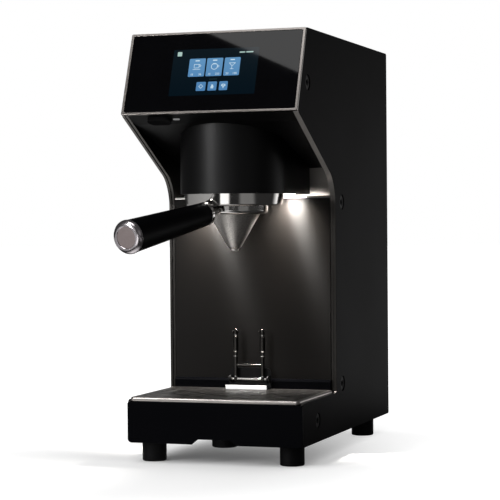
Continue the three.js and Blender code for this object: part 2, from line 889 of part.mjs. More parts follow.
function displayHead() {
  const head = new THREE.Group();
  head.position.set(0, lipY, lipZ);
  head.rotation.x = Math.PI / 2 - headLean;
  head.add(
    piece('display_bezel', displayBezel(), champagneMetal),
    piece('display_glass', displayGlass(), blackGlass),
    piece('display_module', displayModule(), boardGreen),
  );
  return head;
}

function powerButton() {
  const stem = upright(buttonOutline(0), -buttonReach, sheetThickness + fitGap + cutOverrun, buttonEdge);
  const flangeLow = sheetThickness + fitGap;
  const flange = upright(buttonOutline(buttonFlange), flangeLow, flangeLow + buttonFlangeThickness);
  return join(stem, flange);
}

function indicatorLens() {
  return solid(upright(indicatorOutline(0), -indicatorReach, indicatorHeight - indicatorReach));
}

function buttonStrip() {
  const strip = new THREE.Group();
  strip.applyMatrix4(stripFrame);
  strip.add(
    piece('power_button', powerButton(), blackPlastic),
    piece('indicator_lens', indicatorLens(), lampWhite),
  );
  return strip;
}

// Brew group, turned about its own axis

function groupShroud() {
  const back = hoodWallY - fitGap;
  const shell = cut(
    solid(upright(drum(shroudRadius, back), shroudBottom, shroudTop)),
    upright(drum(shroudRadius - shroudWall, back + cutOverrun), shroudBottom + shroudWall,
      shroudTop + cutOverrun),
    upright(circle(groupFlangeRadius + fitGap, 0, groupY), shroudBottom - cutOverrun,
      shroudBottom + shroudWall + cutOverrun),
  );
  const lampHoles = [-lampX, lampX].map((x) =>
    upright(circle(lampRadius + fitGap, x, lampY), shroudBottom - cutOverrun,
      shroudBottom + shroudWall + cutOverrun));
  return cut(shell, ...lampHoles);
}

function groupBell() {
  const ledgeTop = bellBottom + bellLedgeThickness;
  const top = shroudBottom - fitGap;
  const bell = solid(turned([
    [bellMouthRadius, bellBottom],
    [bellBottomRadius, bellBottom, bellEdge],
    [bellTopRadius, top],
    [gasketSeatRadius, top],
    [gasketSeatRadius, lugChamberTop],
    [lugChamberRadius, lugChamberTop],
    [lugChamberRadius, ledgeTop],
    [bellMouthRadius, ledgeTop],
  ]));
  return cut(bell, ...lugAngles().map((angle) => upright(
    sector(bellMouthRadius - cutOverrun, lugChamberRadius, angle + unlockAngle, lugEntryHalfAngle),
    bellBottom - cutOverrun, ledgeTop + cutOverrun,
  )));
}

// The lugs stand square to the handle, which points to the front and left of the group.
function lugAngles() {
  const handleAngle = -Math.PI / 2 - handleHeading;
  return Array.from({ length: lugCount }, (_, lug) =>
    handleAngle + Math.PI / 2 + (2 * Math.PI * lug) / lugCount);
}

function groupBody() {
  const waist = shroudBottom + groupFlangeThickness;
  const block = turned([
    [0, shroudBottom],
    [groupFlangeRadius, shroudBottom],
    [groupFlangeRadius, waist, groupEdge],
    [groupBodyRadius, waist],
    [groupBodyRadius, groupBodyTop, groupEdge],
    [0, groupBodyTop],
  ], 2 * pinSides);
  const arm = backwards(
    box(-groupArmHalfWidth, groupArmBottom, groupArmHalfWidth, groupArmTop, groupEdge),
    0, hoodWallY + groupArmReach - groupY,
  );
  const waterBore = rod(waterBoreRadius, shroudBottom - cutOverrun, (groupArmBottom + groupArmTop) / 2);
  return cut(join(block, arm), waterBore);
}

function groupGasket() {
  return solid(turned([
    [gasketInnerRadius, portafilterTop + fitGap],
    [gasketSeatRadius - fitGap, portafilterTop + fitGap],
    [gasketSeatRadius - fitGap, shroudBottom - fitGap],
    [gasketInnerRadius, shroudBottom - fitGap],
  ]));
}

function showerScreen() {
  const low = shroudBottom - screenDrop;
  return solid(turned([
    [waterBoreRadius, low],
    [screenRadius, low],
    [screenRadius, shroudBottom - fitGap],
    [screenRadius - screenThickness, shroudBottom - fitGap],
    [screenRadius - screenThickness, low + screenThickness],
    [waterBoreRadius, low + screenThickness],
  ]));
}

function showerScrew() {
  const headTop = shroudBottom - screenDrop - fitGap;
  const shank = waterBoreRadius - fitGap;
  return solid(turned([
    [0, headTop - screwHeadHeight],
    [screwHeadRadius, headTop - screwHeadHeight, boltHeadEdge],
    [screwHeadRadius, headTop],
    [shank, headTop],
    [shank, headTop + screwLength],
    [0, headTop + screwLength],
  ]));
}

function brewGroup() {
  const group = new THREE.Group();
  group.position.y = groupY;
  group.add(
    piece('group_body', groupBody(), chrome),
    piece('group_bell', groupBell(), chrome),
    piece('group_gasket', groupGasket(), sealRubber),
    piece('shower_screen', showerScreen(), brushedSteel),
    piece('shower_screw', showerScrew(), brushedSteel),
  );
  return group;
}

function lamp() {
  const flangeTop = shroudBottom - fitGap;
  return solid(turned([
    [0, flangeTop - lampFlangeThickness],
    [lampFlangeRadius, flangeTop - lampFlangeThickness, lampEdge],
    [lampFlangeRadius, flangeTop],
    [lampRadius, flangeTop],
    [lampRadius, flangeTop + lampBodyHeight],
    [0, flangeTop + lampBodyHeight],
  ]));
}

// Portafilter

const handleFrame = new THREE.Matrix4().makeRotationFromEuler(
  new THREE.Euler(Math.PI / 2 + handleTilt, 0, -handleHeading, 'ZYX'),
).setPosition(0, 0, handleAxisZ);

function portafilterBody() {
  const seatZ = portafilterTop - filterRimThickness - fitGap;
  const ring = turned([
    [0, portafilterBottom],
    [portafilterRadius, portafilterBottom, portafilterEdge],
    [portafilterRadius, portafilterTop],
    [0, portafilterTop],
  ]);
  const neck = turned([
    [0, neckStart],
    [neckStartRadius, neckStart],
    [neckEndRadius, ferruleStart],
    [neckEndRadius, ferruleEnd],
    [0, ferruleEnd],
  ]).scale(neckWidening, 1, 1).applyMatrix4(handleFrame);
  const stud = rod(handleStudRadius, ferruleStart, handleStudEnd).applyMatrix4(handleFrame);
  const lugs = lugAngles().map((angle) => upright(
    sector(portafilterRadius - cutOverrun, lugOuterRadius, angle, lugHalfAngle),
    bellBottom + bellLedgeThickness + fitGap, portafilterTop,
  ));
  return cut(
    join(ring, neck, stud, ...lugs),
    rod(portafilterBore, portafilterBottom - portafilterRadius, portafilterTop + cutOverrun),
    rod(filterSeatRadius, seatZ, portafilterTop + cutOverrun),
  );
}

// The cone's wall is a straight slope that both its surfaces follow, down to a flat floor with the spout.
function filterCone() {
  const slope = (coneHighRadius - coneLowRadius) / (coneHighZ - coneLowZ);
  const wallAcross = filterWall * Math.hypot(1, slope);
  const heightAt = (radius) => coneLowZ + (radius - coneLowRadius) / slope;
  const floorZ = coneLowZ + filterWall;
  const floorRadius = coneLowRadius + slope * filterWall - wallAcross;
  const collar = portafilterBore - fitGap;
  const bore = collar - filterWall;
  const rim = filterSeatRadius - fitGap;
  const rimBottom = portafilterTop - filterRimThickness;
  return solid(turned([
    [collar, rimBottom],
    [rim, rimBottom],
    [rim, portafilterTop],
    [bore, portafilterTop],
    [bore, heightAt(bore + wallAcross)],
    [floorRadius, floorZ],
    [filterSpoutBore, floorZ],
    [filterSpoutBore, filterSpoutBottom],
    [filterSpoutRadius, filterSpoutBottom],
    [filterSpoutRadius, coneLowZ - filterSpoutShoulder],
    [coneLowRadius, coneLowZ],
    [collar, heightAt(collar)],
  ]));
}

function handleFerrule() {
  const bore = neckEndRadius * neckWidening + fitGap;
  return solid(turned([
    [bore, ferruleStart],
    [ferruleNoseRadius, ferruleStart, ferruleEdge / 2],
    [ferruleRadius, ferruleShoulder, ferruleEdge],
    [ferruleRadius, ferruleEnd],
    [bore, ferruleEnd],
  ]));
}

function handleGrip() {
  const start = ferruleEnd + fitGap;
  const bore = handleStudRadius + fitGap;
  return solid(turned([
    [bore, start],
    [gripStartRadius, start, gripEdge],
    [gripEndRadius, gripEnd],
    [bore, gripEnd],
  ]));
}

function handleEndCap() {
  const start = gripEnd + fitGap;
  return solid(turned([
    [0, capStudStart],
    [handleStudRadius, capStudStart],
    [handleStudRadius, start],
    [capRadius, start, capStep],
    [capRadius, capEnd, capEdge],
    [capFaceRadius, capEnd],
    [capFaceRadius - capFaceDepth, capEnd - capFaceDepth],
    [0, capEnd - capFaceDepth],
  ]));
}

function portafilter() {
  const whole = new THREE.Group();
  const handle = new THREE.Group();
  handle.applyMatrix4(handleFrame);
  handle.add(
    piece('handle_ferrule', handleFerrule(), chrome),
    piece('handle_grip', handleGrip(), softBlack),
    piece('handle_end_cap', handleEndCap(), chrome),
  );
  whole.position.y = groupY;
  whole.add(
    piece('portafilter_body', portafilterBody(), chrome),
    piece('filter_cone', filterCone(), etchedSteel),
    handle,
  );
  return whole;
}

// Drip tray

function dripTray() {
  const rimOutline = (inset) => box(-cheekOuterX + inset, trayRimFront + inset, cheekOuterX - inset,
    trayRimBack - inset, Math.max(trayRimCornerRadius - inset, smallCornerRadius / 2));
  const panFront = plateFrontY + sheetThickness + fitGap;
  const panBack = trayRimBack - trayLedgeWidth / 2;
  const panOutline = (inset) => box(-innerHalfWidth + inset, panFront + inset, innerHalfWidth - inset,
    panBack - inset, smallCornerRadius);
  const grilleSeat = trayRimTop - grilleThickness - fitGap;
  const floorTop = trayFloorBottom + trayWall;
  const spout = (radius) => circle(radius, 0, drainY);
  return cut(
    join(
      upright(rimOutline(0), trayRimBottom, trayRimTop, trayRimEdge),
      upright(panOutline(0), trayFloorBottom, trayRimBottom + cutOverrun),
      upright(spout(spoutRadius), spoutBottom, floorTop),
    ),
    upright(rimOutline(trayRimWidth), grilleSeat, trayRimTop + cutOverrun),
    upright(panOutline(trayRimWidth + trayLedgeWidth - trayPanInset), trayRimBottom - cutOverrun,
      trayRimTop + cutOverrun),
    upright(panOutline(trayWall), floorTop, trayRimBottom),
    upright(spout(spoutRadius - spoutWall), spoutBottom - cutOverrun, floorTop + cutOverrun),
  );
}

function dripGrille() {
  const inset = trayRimWidth + fitGap;
  const left = -cheekOuterX + inset;
  const front = trayRimFront + inset;
  const back = trayRimBack - inset;
  const plate = solid(upright(
    box(left, front, -left, back, smallCornerRadius), trayRimTop - grilleThickness, trayRimTop,
  ));
  const firstRow = (front + back) / 2 - ((grilleRowCount - 1) * grilleRowPitch) / 2;
  const edge = -left - grilleSlotWidth;
  const slots = Array.from({ length: grilleRowCount }, (_, row) => slotRow(row, firstRow, edge)).flat();
  return cut(plate, ...slots.map((slot) =>
    upright(slot, trayRimTop - grilleThickness - cutOverrun, trayRimTop + cutOverrun)));
}

// One row of slots in a brick pattern: every other row is shifted by half a pitch.
function slotRow(row, firstRow, edge) {
  const y = firstRow + row * grilleRowPitch;
  const shift = row % 2 === 0 ? 0 : grilleSlotPitchX / 2;
  const reach = Math.ceil(edge / grilleSlotPitchX);
  const halfWidth = grilleSlotWidth / 2;
  const steps = Array.from({ length: 2 * reach + 1 }, (_, step) => step - reach);
  return steps.flatMap((step) => {
    const x = step * grilleSlotPitchX + shift;
    const left = Math.max(x - grilleSlotLength / 2, -edge);
    const right = Math.min(x + grilleSlotLength / 2, edge);
    if (right - left < 2 * grilleSlotWidth) return [];
    return [box(left, y - halfWidth, right, y + halfWidth, halfWidth * fullRoundShare)];
  });
}

function drainCup() {
  const flangeBottom = panFloorTop + fitGap;
  const flangeTop = flangeBottom + drainWall;
  const inner = drainRadius - drainWall;
  return solid(turned([
    [drainOutletRadius, drainBottom],
    [drainRadius, drainBottom, footEdge],
    [drainRadius, flangeBottom],
    [drainFlangeRadius, flangeBottom],
    [drainFlangeRadius, flangeTop],
    [inner, flangeTop],
    [inner, drainBottom + drainWall],
    [drainOutletRadius, drainBottom + drainWall],
  ]));
}

// Cup rest

function restBracket() {
  const low = trayRimTop + fitGap;
  const back = bracketFrontY + bracketThickness;
  const plate = backwards(rounded([
    [-bracketHalfWidth, low],
    [bracketHalfWidth, low],
    [bracketHalfWidth, bracketTop, bracketCornerRadius],
    [-bracketHalfWidth, bracketTop, bracketCornerRadius],
  ]), bracketFrontY, back);
  const foot = upright(box(-restLipHalfWidth, bracketFootFrontY, restLipHalfWidth, back),
    low, low + bracketFootThickness);
  const earInner = restPostX + postHighRadius + earGap;
  const earOutline = rounded([
    [bracketFrontY + bracketThickness / 2, restPinZ - earRadius],
    [bracketFrontY + bracketThickness / 2, restPinZ + earRadius],
    [restPostY - earRadius, restPinZ + earRadius, earRadius * fullRoundShare],
    [restPostY - earRadius, restPinZ - earRadius, earRadius * fullRoundShare],
  ]);
  const ears = [earInner, -earInner - earThickness].map((x) => across(earOutline, x, x + earThickness));
  const pinBore = across(circle(restPinRadius + pinGap, restPostY, restPinZ, pinSides),
    -bracketHalfWidth - cutOverrun, bracketHalfWidth + cutOverrun);
  return cut(join(plate, foot, ...ears), pinBore);
}

function restLip() {
  const back = bracketFootFrontY - fitGap;
  return solid(across(
    box(back - lipThickness, trayRimTop + fitGap, back, lipTop, restLipRadius),
    -restLipHalfWidth, restLipHalfWidth,
  ));
}

function restHingePin() {
  const half = restPostX + postHighRadius + earGap + earThickness + fitGap;
  return solid(across(circle(restPinRadius, restPostY, restPinZ, pinSides), -half, half));
}

function restPost() {
  return turned([
    [0, restPinZ - postEyeRadius],
    [postEyeRadius, restPinZ - postEyeRadius, postStep],
    [postEyeRadius, restPinZ + postEyeRadius],
    [postLowRadius, restPinZ + postEyeRadius + postStep],
    [postLowRadius, postBandZ],
    [postBandRadius, postBandZ],
    [postBandRadius, postBandZ + postStep],
    [postLowRadius, postBandZ + postStep],
    [postLowRadius, postShoulderZ],
    [postHighRadius, postShoulderZ + postStep],
    [postHighRadius, postNeckZ],
    [postNeckRadius, postNeckZ + postStep],
    [postNeckRadius, postHeadZ],
    [postHeadRadius, postHeadZ],
    [postHeadRadius, restTop, postHeadRadius * postDomeShare],
    [0, restTop],
  ]);
}

function restFrame() {
  const posts = [-restPostX, restPostX].map((x) => restPost().translate(x, restPostY, 0));
  const endPins = [-restPostX, restPostX].map((x) =>
    across(circle(endPinRadius, restPostY, endPinZ), x - endPinHalfLength, x + endPinHalfLength));
  const rodHalf = restPostX + crossRodReach;
  const crossRod = across(circle(crossRodRadius, restPostY, crossRodZ), -rodHalf, rodHalf);
  const pastPosts = restPostX + postHighRadius + cutOverrun;
  const hingeBore = across(circle(restPinRadius + pinGap, restPostY, restPinZ, pinSides),
    -pastPosts, pastPosts);
  return cut(join(...posts, ...endPins, crossRod), hingeBore);
}

// Feet and inlets

function foot() {
  return solid(turned([
    [0, 0],
    [footRadius, 0, footEdge],
    [footRadius, panBottom - fitGap],
    [footStudRadius, panBottom - fitGap],
    [footStudRadius, footStudTop],
    [0, footStudTop],
  ]));
}

// Both inlets are built with Y out of the rear panel, from its outer face.

function waterInlet() {
  const inside = -rearPanelThickness - fitGap;
  return solid(turnedBackwards([
    [0, inside - waterBodyLength],
    [waterNippleRadius, inside - waterBodyLength],
    [waterNippleRadius, inside - waterFlangeThickness],
    [waterFlangeRadius, inside - waterFlangeThickness],
    [waterFlangeRadius, inside],
    [waterNippleRadius, inside],
    [waterNippleRadius, waterNippleReach, boltHeadEdge],
    [waterNippleBore, waterNippleReach],
    [waterNippleBore, waterNippleReach - waterBoreDepth],
    [0, waterNippleReach - waterBoreDepth],
  ], innerPartSides));
}

function mainsInlet() {
  const half = mainsBodyWidth / 2;
  const tall = mainsBodyHeight / 2;
  const outline = (margin) => box(-half - margin, -tall - margin, half + margin, tall + margin,
    mainsCornerRadius + Math.min(margin, 0) / 2);
  const flangeFront = fitGap;
  const flangeBack = fitGap + mainsFlangeThickness;
  return cut(
    join(
      backwards(outline(0), -mainsBodyDepth, flangeBack - fitGap),
      backwards(outline(mainsFlangeMargin), flangeFront, flangeBack),
    ),
    backwards(outline(-mainsWall), flangeBack - mainsSocketDepth, flangeBack + cutOverrun),
  );
}

// Working parts inside the column

function serviceShelf() {
  const back = bodyDepth - rearPanelThickness - fitGap;
  const profile = rounded([
    [shelfFrontY, shelfZ - shelfFlange],
    [shelfFrontY + sheetThickness, shelfZ - shelfFlange],
    [shelfFrontY + sheetThickness, shelfZ - sheetThickness],
    [back - sheetThickness, shelfZ - sheetThickness],
    [back - sheetThickness, shelfZ - shelfFlange],
    [back, shelfZ - shelfFlange],
    [back, shelfZ, sheetThickness],
    [shelfFrontY, shelfZ, sheetThickness],
  ]);
  const pipeHole = upright(circle(feedPipeRadius + fitGap, pumpX, feedPipeRiseY),
    shelfZ - shelfFlange, shelfZ + cutOverrun);
  return cut(solid(across(profile, -innerHalfWidth, innerHalfWidth)), pipeHole);
}

// From the pump's outlet to the back, round a bend and up through the shelf to the boiler.
function feedPipe() {
  const start = pumpY + pumpLength + pumpNozzleLength + fitGap;
  const runZ = pumpAxisZ;
  const bendStart = new THREE.Vector3(pumpX, feedPipeRiseY - feedPipeBend, runZ);
  const corner = new THREE.Vector3(pumpX, feedPipeRiseY, runZ);
  const bendEnd = new THREE.Vector3(pumpX, feedPipeRiseY, runZ + feedPipeBend);
  const path = new THREE.CurvePath();
  path.add(new THREE.LineCurve3(new THREE.Vector3(pumpX, start, runZ), bendStart));
  path.add(new THREE.QuadraticBezierCurve3(bendStart, corner, bendEnd));
  path.add(new THREE.LineCurve3(bendEnd, new THREE.Vector3(pumpX, feedPipeRiseY, shelfZ)));
  const section = new THREE.Shape(circle(feedPipeRadius, 0, 0, innerPartSides / 2));
  return solid(new THREE.ExtrudeGeometry(section, { steps: feedPipeSteps, extrudePath: path }));
}

function boiler() {
  const low = shelfZ + fitGap;
  const floor = low + boilerFootThickness;
  const top = low + boilerHeight;
  const inner = boilerRadius - boilerWall;
  const shell = turned([
    [0, low],
    [boilerFootRadius, low],
    [boilerFootRadius, floor],
    [boilerRadius, floor],
    [boilerRadius, top, boilerDome],
    [0, top],
  ], innerPartSides);
  const hollow = turned([
    [0, floor],
    [inner, floor],
    [inner, top - boilerDome],
    [0, top - boilerDome],
  ], innerPartSides);
  const portPlan = circle(feedPipeRadius - boilerWall, pumpX, feedPipeRiseY - boilerY, innerPartSides / 2);
  return cut(solid(shell), hollow, upright(portPlan, low - cutOverrun, floor + cutOverrun));
}

function groupPipe() {
  const start = hoodWallY + groupArmReach + fitGap;
  const end = boilerY - boilerRadius - fitGap;
  return solid(turnedBackwards([
    [0, start],
    [groupPipeNutRadius, start],
    [groupPipeNutRadius, start + groupPipeNutLength],
    [groupPipeRadius, start + groupPipeNutLength],
    [groupPipeRadius, end - groupPipeNutLength],
    [groupPipeNutRadius, end - groupPipeNutLength],
    [groupPipeNutRadius, end],
    [0, end],
  ], hexSides * 2));
}

function solenoidValve() {
  const low = shelfZ + fitGap;
  const half = valveBlock / 2;
  return join(
    upright(box(-half, -half, half, half, smallCornerRadius), low, low + valveBlock),
    rod(valveCoilRadius, low + valveBlock - cutOverrun, low + valveBlock + valveCoilHeight),
  );
}

// The board stands on its posts off the right cheek.
function controlBoard() {
  const boardX = innerHalfWidth - boardStandoff;
  const board = across(
    box(boardY, boardZ, boardY + boardDepth, boardZ + boardHeight, smallCornerRadius),
    boardX - boardThickness, boardX,
  );
  const inBoard = boardX - boardThickness / 2;
  const posts = [boardPostInset, boardDepth - boardPostInset].flatMap((y) =>
    [boardPostInset, boardHeight - boardPostInset].map((z) =>
      across(circle(boardStandoffRadius, boardY + y, boardZ + z), inBoard, innerHalfWidth)));
  const chipLow = boardZ + (boardHeight - boardChip) / 2;
  const chipFront = boardY + (boardDepth - boardChip) / 2;
  const chip = across(
    box(chipFront, chipLow, chipFront + boardChip, chipLow + boardChip),
    boardX - boardStandoff, inBoard,
  );
  return join(board, ...posts, chip);
}

function powerSupply() {
  const low = panFloorTop + fitGap;
  const half = supplyWidth / 2;
  const caseBox = upright(box(-half, 0, half, supplyDepth, smallCornerRadius), low, low + supplyHeight);
  const terminalStep = upright(
    box(-half - cutOverrun, supplyDepth - supplyTerminalDepth, half + cutOverrun, supplyDepth + cutOverrun),
    low + supplyTerminalHeight, low + supplyHeight + cutOverrun,
  );
  return cut(solid(caseBox), terminalStep);
}

function pump() {
  const low = panFloorTop + fitGap;
  const body = turnedBackwards([
    [0, -pumpNozzleLength],
    [pumpNozzleRadius, -pumpNozzleLength],
    [pumpNozzleRadius, 0],
    [pumpRadius, 0, smallCornerRadius],
    [pumpRadius, pumpLength, smallCornerRadius],
    [pumpNozzleRadius, pumpLength],
    [pumpNozzleRadius, pumpLength + pumpNozzleLength],
    [0, pumpLength + pumpNozzleLength],
  ], innerPartSides).translate(0, 0, pumpAxisZ);
  const footBlock = upright(
    box(-pumpFootWidth / 2, pumpFootHeight, pumpFootWidth / 2, pumpLength - pumpFootHeight),
    low, pumpAxisZ - pumpRadius / 2,
  );
  return join(body, footBlock);
}

function flowMeter() {
  const low = panFloorTop + fitGap;
  const bodyLow = low + meterStandHeight;
  const portCircle = circle(meterPortRadius, 0, bodyLow + meterHeight / 2);
  return join(
    rod(meterStandRadius, low, bodyLow + cutOverrun),
    rod(meterRadius, bodyLow, bodyLow + meterHeight),
    across(portCircle, -meterPortReach, meterPortReach),
  );
}

// Assembly

function placed(mesh, x, y, z = 0) {
  mesh.position.set(x, y, z);
  return mesh;
}

function housing() {
  return [
    piece('left_side_panel', sidePanel(-1), blackGlossPaint),
    piece('right_side_panel', sidePanel(1), blackGlossPaint),
    piece('left_frame_cheek', frameCheek(-1), blackSatinPaint),
    piece('right_frame_cheek', frameCheek(1), blackSatinPaint),
    piece('base_front_panel', baseFrontPanel(), blackGlossPaint),
    piece('base_pan', basePan(), galvanisedSteel),
    piece('top_cover', topCover(), blackSatinPaint),
    piece('rear_panel', rearPanel(), blackSatinPaint),
    piece('backsplash', backsplash(), brushedSteel),
    piece('backsplash_sill', backsplashSill(), blackSatinPaint),
    piece('hood_rear_wall', hoodRearWall(), blackSatinPaint),
    piece('hood_underside', hoodUnderside(), blackSatinPaint),
    piece('group_shroud', groupShroud(), blackSatinPaint),
  ];
}

function sideBolts() {
  const tip = bodyWidth / 2 - boltSinkDepth + fitGap + boltHeadThickness - boltLength;
  return [['left', -1], ['right', 1]].flatMap(([name, side]) => boltPlaces.map(([y, z], index) => {
    const bolt = piece(`${name}_side_bolt_${index + 1}`, sideBolt(), blackPlastic);
    bolt.rotation.z = side < 0 ? Math.PI : 0;
    return placed(bolt, side * tip, y, z);
  }));
}

function feet() {
  return [['left', -1], ['right', 1]].flatMap(([name, side]) => [
    placed(piece(`front_${name}_foot`, foot(), blackPlastic), side * footX, frontFootY),
    placed(piece(`rear_${name}_foot`, foot(), blackPlastic), side * footX, rearFootY),
  ]);
}

function tray() {
  return [
    piece('drip_tray', dripTray(), brushedSteel),
    piece('drip_grille', dripGrille(), brushedSteel),
    placed(piece('drain_cup', drainCup(), blackPlastic), 0, drainY),
  ];
}

function cupRest() {
  return [
    piece('cup_rest_bracket', restBracket(), blackSatinPaint),
    piece('cup_rest_lip', restLip(), whiteSilicone),
    piece('cup_rest_hinge_pin', restHingePin(), chrome),
    piece('cup_rest_frame', restFrame(), blackSatinPaint),
  ];
}

function workingParts() {
  return [
    piece('service_shelf', serviceShelf(), galvanisedSteel),
    placed(piece('boiler', boiler(), galvanisedSteel), 0, boilerY),
    placed(piece('group_pipe', groupPipe(), brass), 0, 0, groupPipeZ),
    placed(piece('solenoid_valve', solenoidValve(), brass), valveX, valveY),
    piece('control_board', controlBoard(), boardGreen),
    placed(piece('power_supply', powerSupply(), galvanisedSteel), supplyX, supplyY),
    placed(piece('pump', pump(), galvanisedSteel), pumpX, pumpY),
    piece('feed_pipe', feedPipe(), brass),
    placed(piece('flow_meter', flowMeter(), blackPlastic), meterX, meterY),
    placed(piece('water_inlet', waterInlet(), brass), waterInletX, bodyDepth, waterInletZ),
    placed(piece('mains_inlet', mainsInlet(), blackPlastic), mainsInletX, bodyDepth, mainsInletZ),
  ];
}

const brewer = new THREE.Group();
brewer.add(
  ...housing(),
  ...sideBolts(),
  ...feet(),
  displayHead(),
  buttonStrip(),
  brewGroup(),
  placed(piece('left_lamp', lamp(), lampWhite), -lampX, lampY),
  placed(piece('right_lamp', lamp(), lampWhite), lampX, lampY),
  portafilter(),
  ...tray(),
  ...cupRest(),
  ...workingParts(),
);

// The origin is the middle of the outer box, on the counter.
brewer.updateMatrixWorld(true);
const outerBox = new THREE.Box3().setFromObject(brewer, true);
brewer.position.y = -outerBox.getCenter(new THREE.Vector3()).y;
console.log(`front line of the base at y = ${brewer.position.y.toFixed(4)} mm`);

export default brewer;
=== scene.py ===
# %% [markdown]
# # A commercial coffee brewer, dressed for a studio picture
#
# The brewer's engineering model is a set of exact solids. This notebook dresses it, and says what each
# piece or finish is on the real machine and why it is made this way. Lengths are typed in millimetres,
# with Y counted from the front face of the base, and a finished piece is moved into the model's frame.

# %% Load the fixed frame
import json
import math

import bmesh
import bpy
from mathutils import Matrix, Vector


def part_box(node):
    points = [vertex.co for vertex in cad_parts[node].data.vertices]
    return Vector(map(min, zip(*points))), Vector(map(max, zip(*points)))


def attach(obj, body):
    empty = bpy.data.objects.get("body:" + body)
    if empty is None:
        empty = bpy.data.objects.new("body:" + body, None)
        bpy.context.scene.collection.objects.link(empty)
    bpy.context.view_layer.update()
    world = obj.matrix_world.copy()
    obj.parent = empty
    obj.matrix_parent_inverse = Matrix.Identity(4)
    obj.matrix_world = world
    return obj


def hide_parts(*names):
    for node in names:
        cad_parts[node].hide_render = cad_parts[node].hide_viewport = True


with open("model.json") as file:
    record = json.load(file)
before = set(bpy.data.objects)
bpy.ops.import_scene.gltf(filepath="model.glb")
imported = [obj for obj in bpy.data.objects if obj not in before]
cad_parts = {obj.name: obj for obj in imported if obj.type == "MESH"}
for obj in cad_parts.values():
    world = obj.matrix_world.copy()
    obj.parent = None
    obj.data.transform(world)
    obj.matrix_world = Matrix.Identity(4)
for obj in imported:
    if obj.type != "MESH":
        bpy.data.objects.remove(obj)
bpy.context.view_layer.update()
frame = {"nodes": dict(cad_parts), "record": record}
mm = 0.001
to_frame = Matrix.Translation((0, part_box("base_front_panel")[0][1], 0))

# %% [markdown]
# ## The camera
#
# The photograph was taken with a long lens from the right of the front, level with the brew group. The
# camera's place was found by matching known corners of the housing. It is turned by three plain angles,
# in the order heading, tilt and roll.

# %% Camera
heading, tilt, roll = (math.radians(angle) for angle in (18.84, 0.93, -0.47))
bpy.ops.object.camera_add(location=(0.6455, -1.8926, 0.2563))
camera = bpy.context.object
aim = Matrix.Rotation(heading, 4, "Z") @ Matrix.Rotation(math.pi / 2 - tilt, 4, "X")
camera.rotation_euler = (aim @ Matrix.Rotation(roll, 4, "Z")).to_euler()
camera.data.sensor_width = 36
camera.data.lens = 129.77
bpy.context.scene.camera = camera
bpy.context.scene.view_settings.view_transform = "Standard"

# %% [markdown]
# ## A small language for finishes
#
# A finish is worked out by shader nodes. A small class wraps one output of a node: Python's own operators
# on it add the Math nodes, and every other node goes through one method that takes its type, its
# settings, and the values or links of its sockets.


# %% Shader helpers
class Socket:
    """An output of a shader node. Arithmetic on it adds Math nodes to the same material."""

    def __init__(self, tree, output):
        self.tree = tree
        self.output = output

    def node(self, kind, settings, sockets, result=0):
        made = self.tree.nodes.new("ShaderNode" + kind)
        for name, value in settings.items():
            setattr(made, name, value)
        for name, value in sockets.items():
            if isinstance(value, Socket):
                self.tree.links.new(value.output, made.inputs[name])
            else:
                made.inputs[name].default_value = value
        return Socket(self.tree, made.outputs[result]) if made.outputs else None

    def math(self, operation, first, second):
        return self.node("Math", {"operation": operation}, {0: first, 1: second})

    def __add__(self, other):
        return self.math("ADD", self, other)

    def __sub__(self, other):
        return self.math("SUBTRACT", self, other)

    def __rsub__(self, other):
        return self.math("SUBTRACT", other, self)

    def __mul__(self, other):
        return self.math("MULTIPLY", self, other)

    __radd__ = __add__
    __rmul__ = __mul__


def new_finish(name):
    """An empty material, with the place on the object in metres as the socket that patterns start from."""
    material = bpy.data.materials.new(name)
    material.use_nodes = True
    material.node_tree.nodes.clear()
    coordinates = material.node_tree.nodes.new("ShaderNodeTexCoord")
    return material, Socket(material.node_tree, coordinates.outputs["Object"])


def part_of(vector, axis):
    """The X, Y or Z of a vector socket, by the numbers 0, 1 and 2."""
    return vector.node("SeparateXYZ", {}, {"Vector": vector}, axis)


def stretched(place, scale):
    """The place multiplied: a pattern then has that many features per metre, or a number for each axis."""
    scales = scale if isinstance(scale, tuple) else (scale, scale, scale)
    return place.node("Mapping", {}, {"Vector": place, "Scale": scales})


def noise(place, scale, detail=3.0, roughness=0.5):
    """Cloudy values from 0 to 1, with a scale as in stretched."""
    values = {"Vector": stretched(place, scale), "Scale": 1.0, "Detail": detail, "Roughness": roughness}
    return place.node("TexNoise", {}, values)


def smooth_step(value, low, high):
    """0 below low, 1 above high, and a soft turn between them."""
    values = {"Value": value, "From Min": low, "From Max": high}
    return value.node("MapRange", {"interpolation_type": "SMOOTHSTEP"}, values)


def between(mask, low, high):
    """A number that goes from low to high as the mask goes from 0 to 1."""
    return mask * (high - low) + low


def tint(mask, first, second):
    """A colour that goes from the first to the second as the mask goes from 0 to 1."""
    return mask.node("Mix", {"data_type": "RGBA"}, {0: mask, 6: (*first, 1), 7: (*second, 1)}, 2)


def bumped(height, depth):
    """The surface direction, tilted by a height pattern that is that many metres deep."""
    return height.node("Bump", {}, {"Height": height, "Strength": 1.0, "Distance": depth})


def finished(material, place, **sockets):
    """Ends a material with the surface shader. A socket's name is written with _ for each space."""
    shader = place.node("BsdfPrincipled", {},
                        {name.replace("_", " "): value for name, value in sockets.items()})
    place.node("OutputMaterial", {}, {"Surface": shader})
    return material


# %% [markdown]
# ## Floor, sky and lamps
#
# The brewer is photographed on white. The camera sees a plain white sky and a floor that glows a little,
# while the diffuse light stays at a plain level, so the floor keeps the soft shadow under the feet. Gloss
# and metal see white only behind the brewer, up to the top of the backdrop. In front is the dim room,
# with a pale card on the left and a grey one on the right, which draw the bands on the chrome.
#
# To gloss and metal the floor is white close to the feet and far behind the brewer, and dim elsewhere,
# but for the stretches where it stands for the cards.


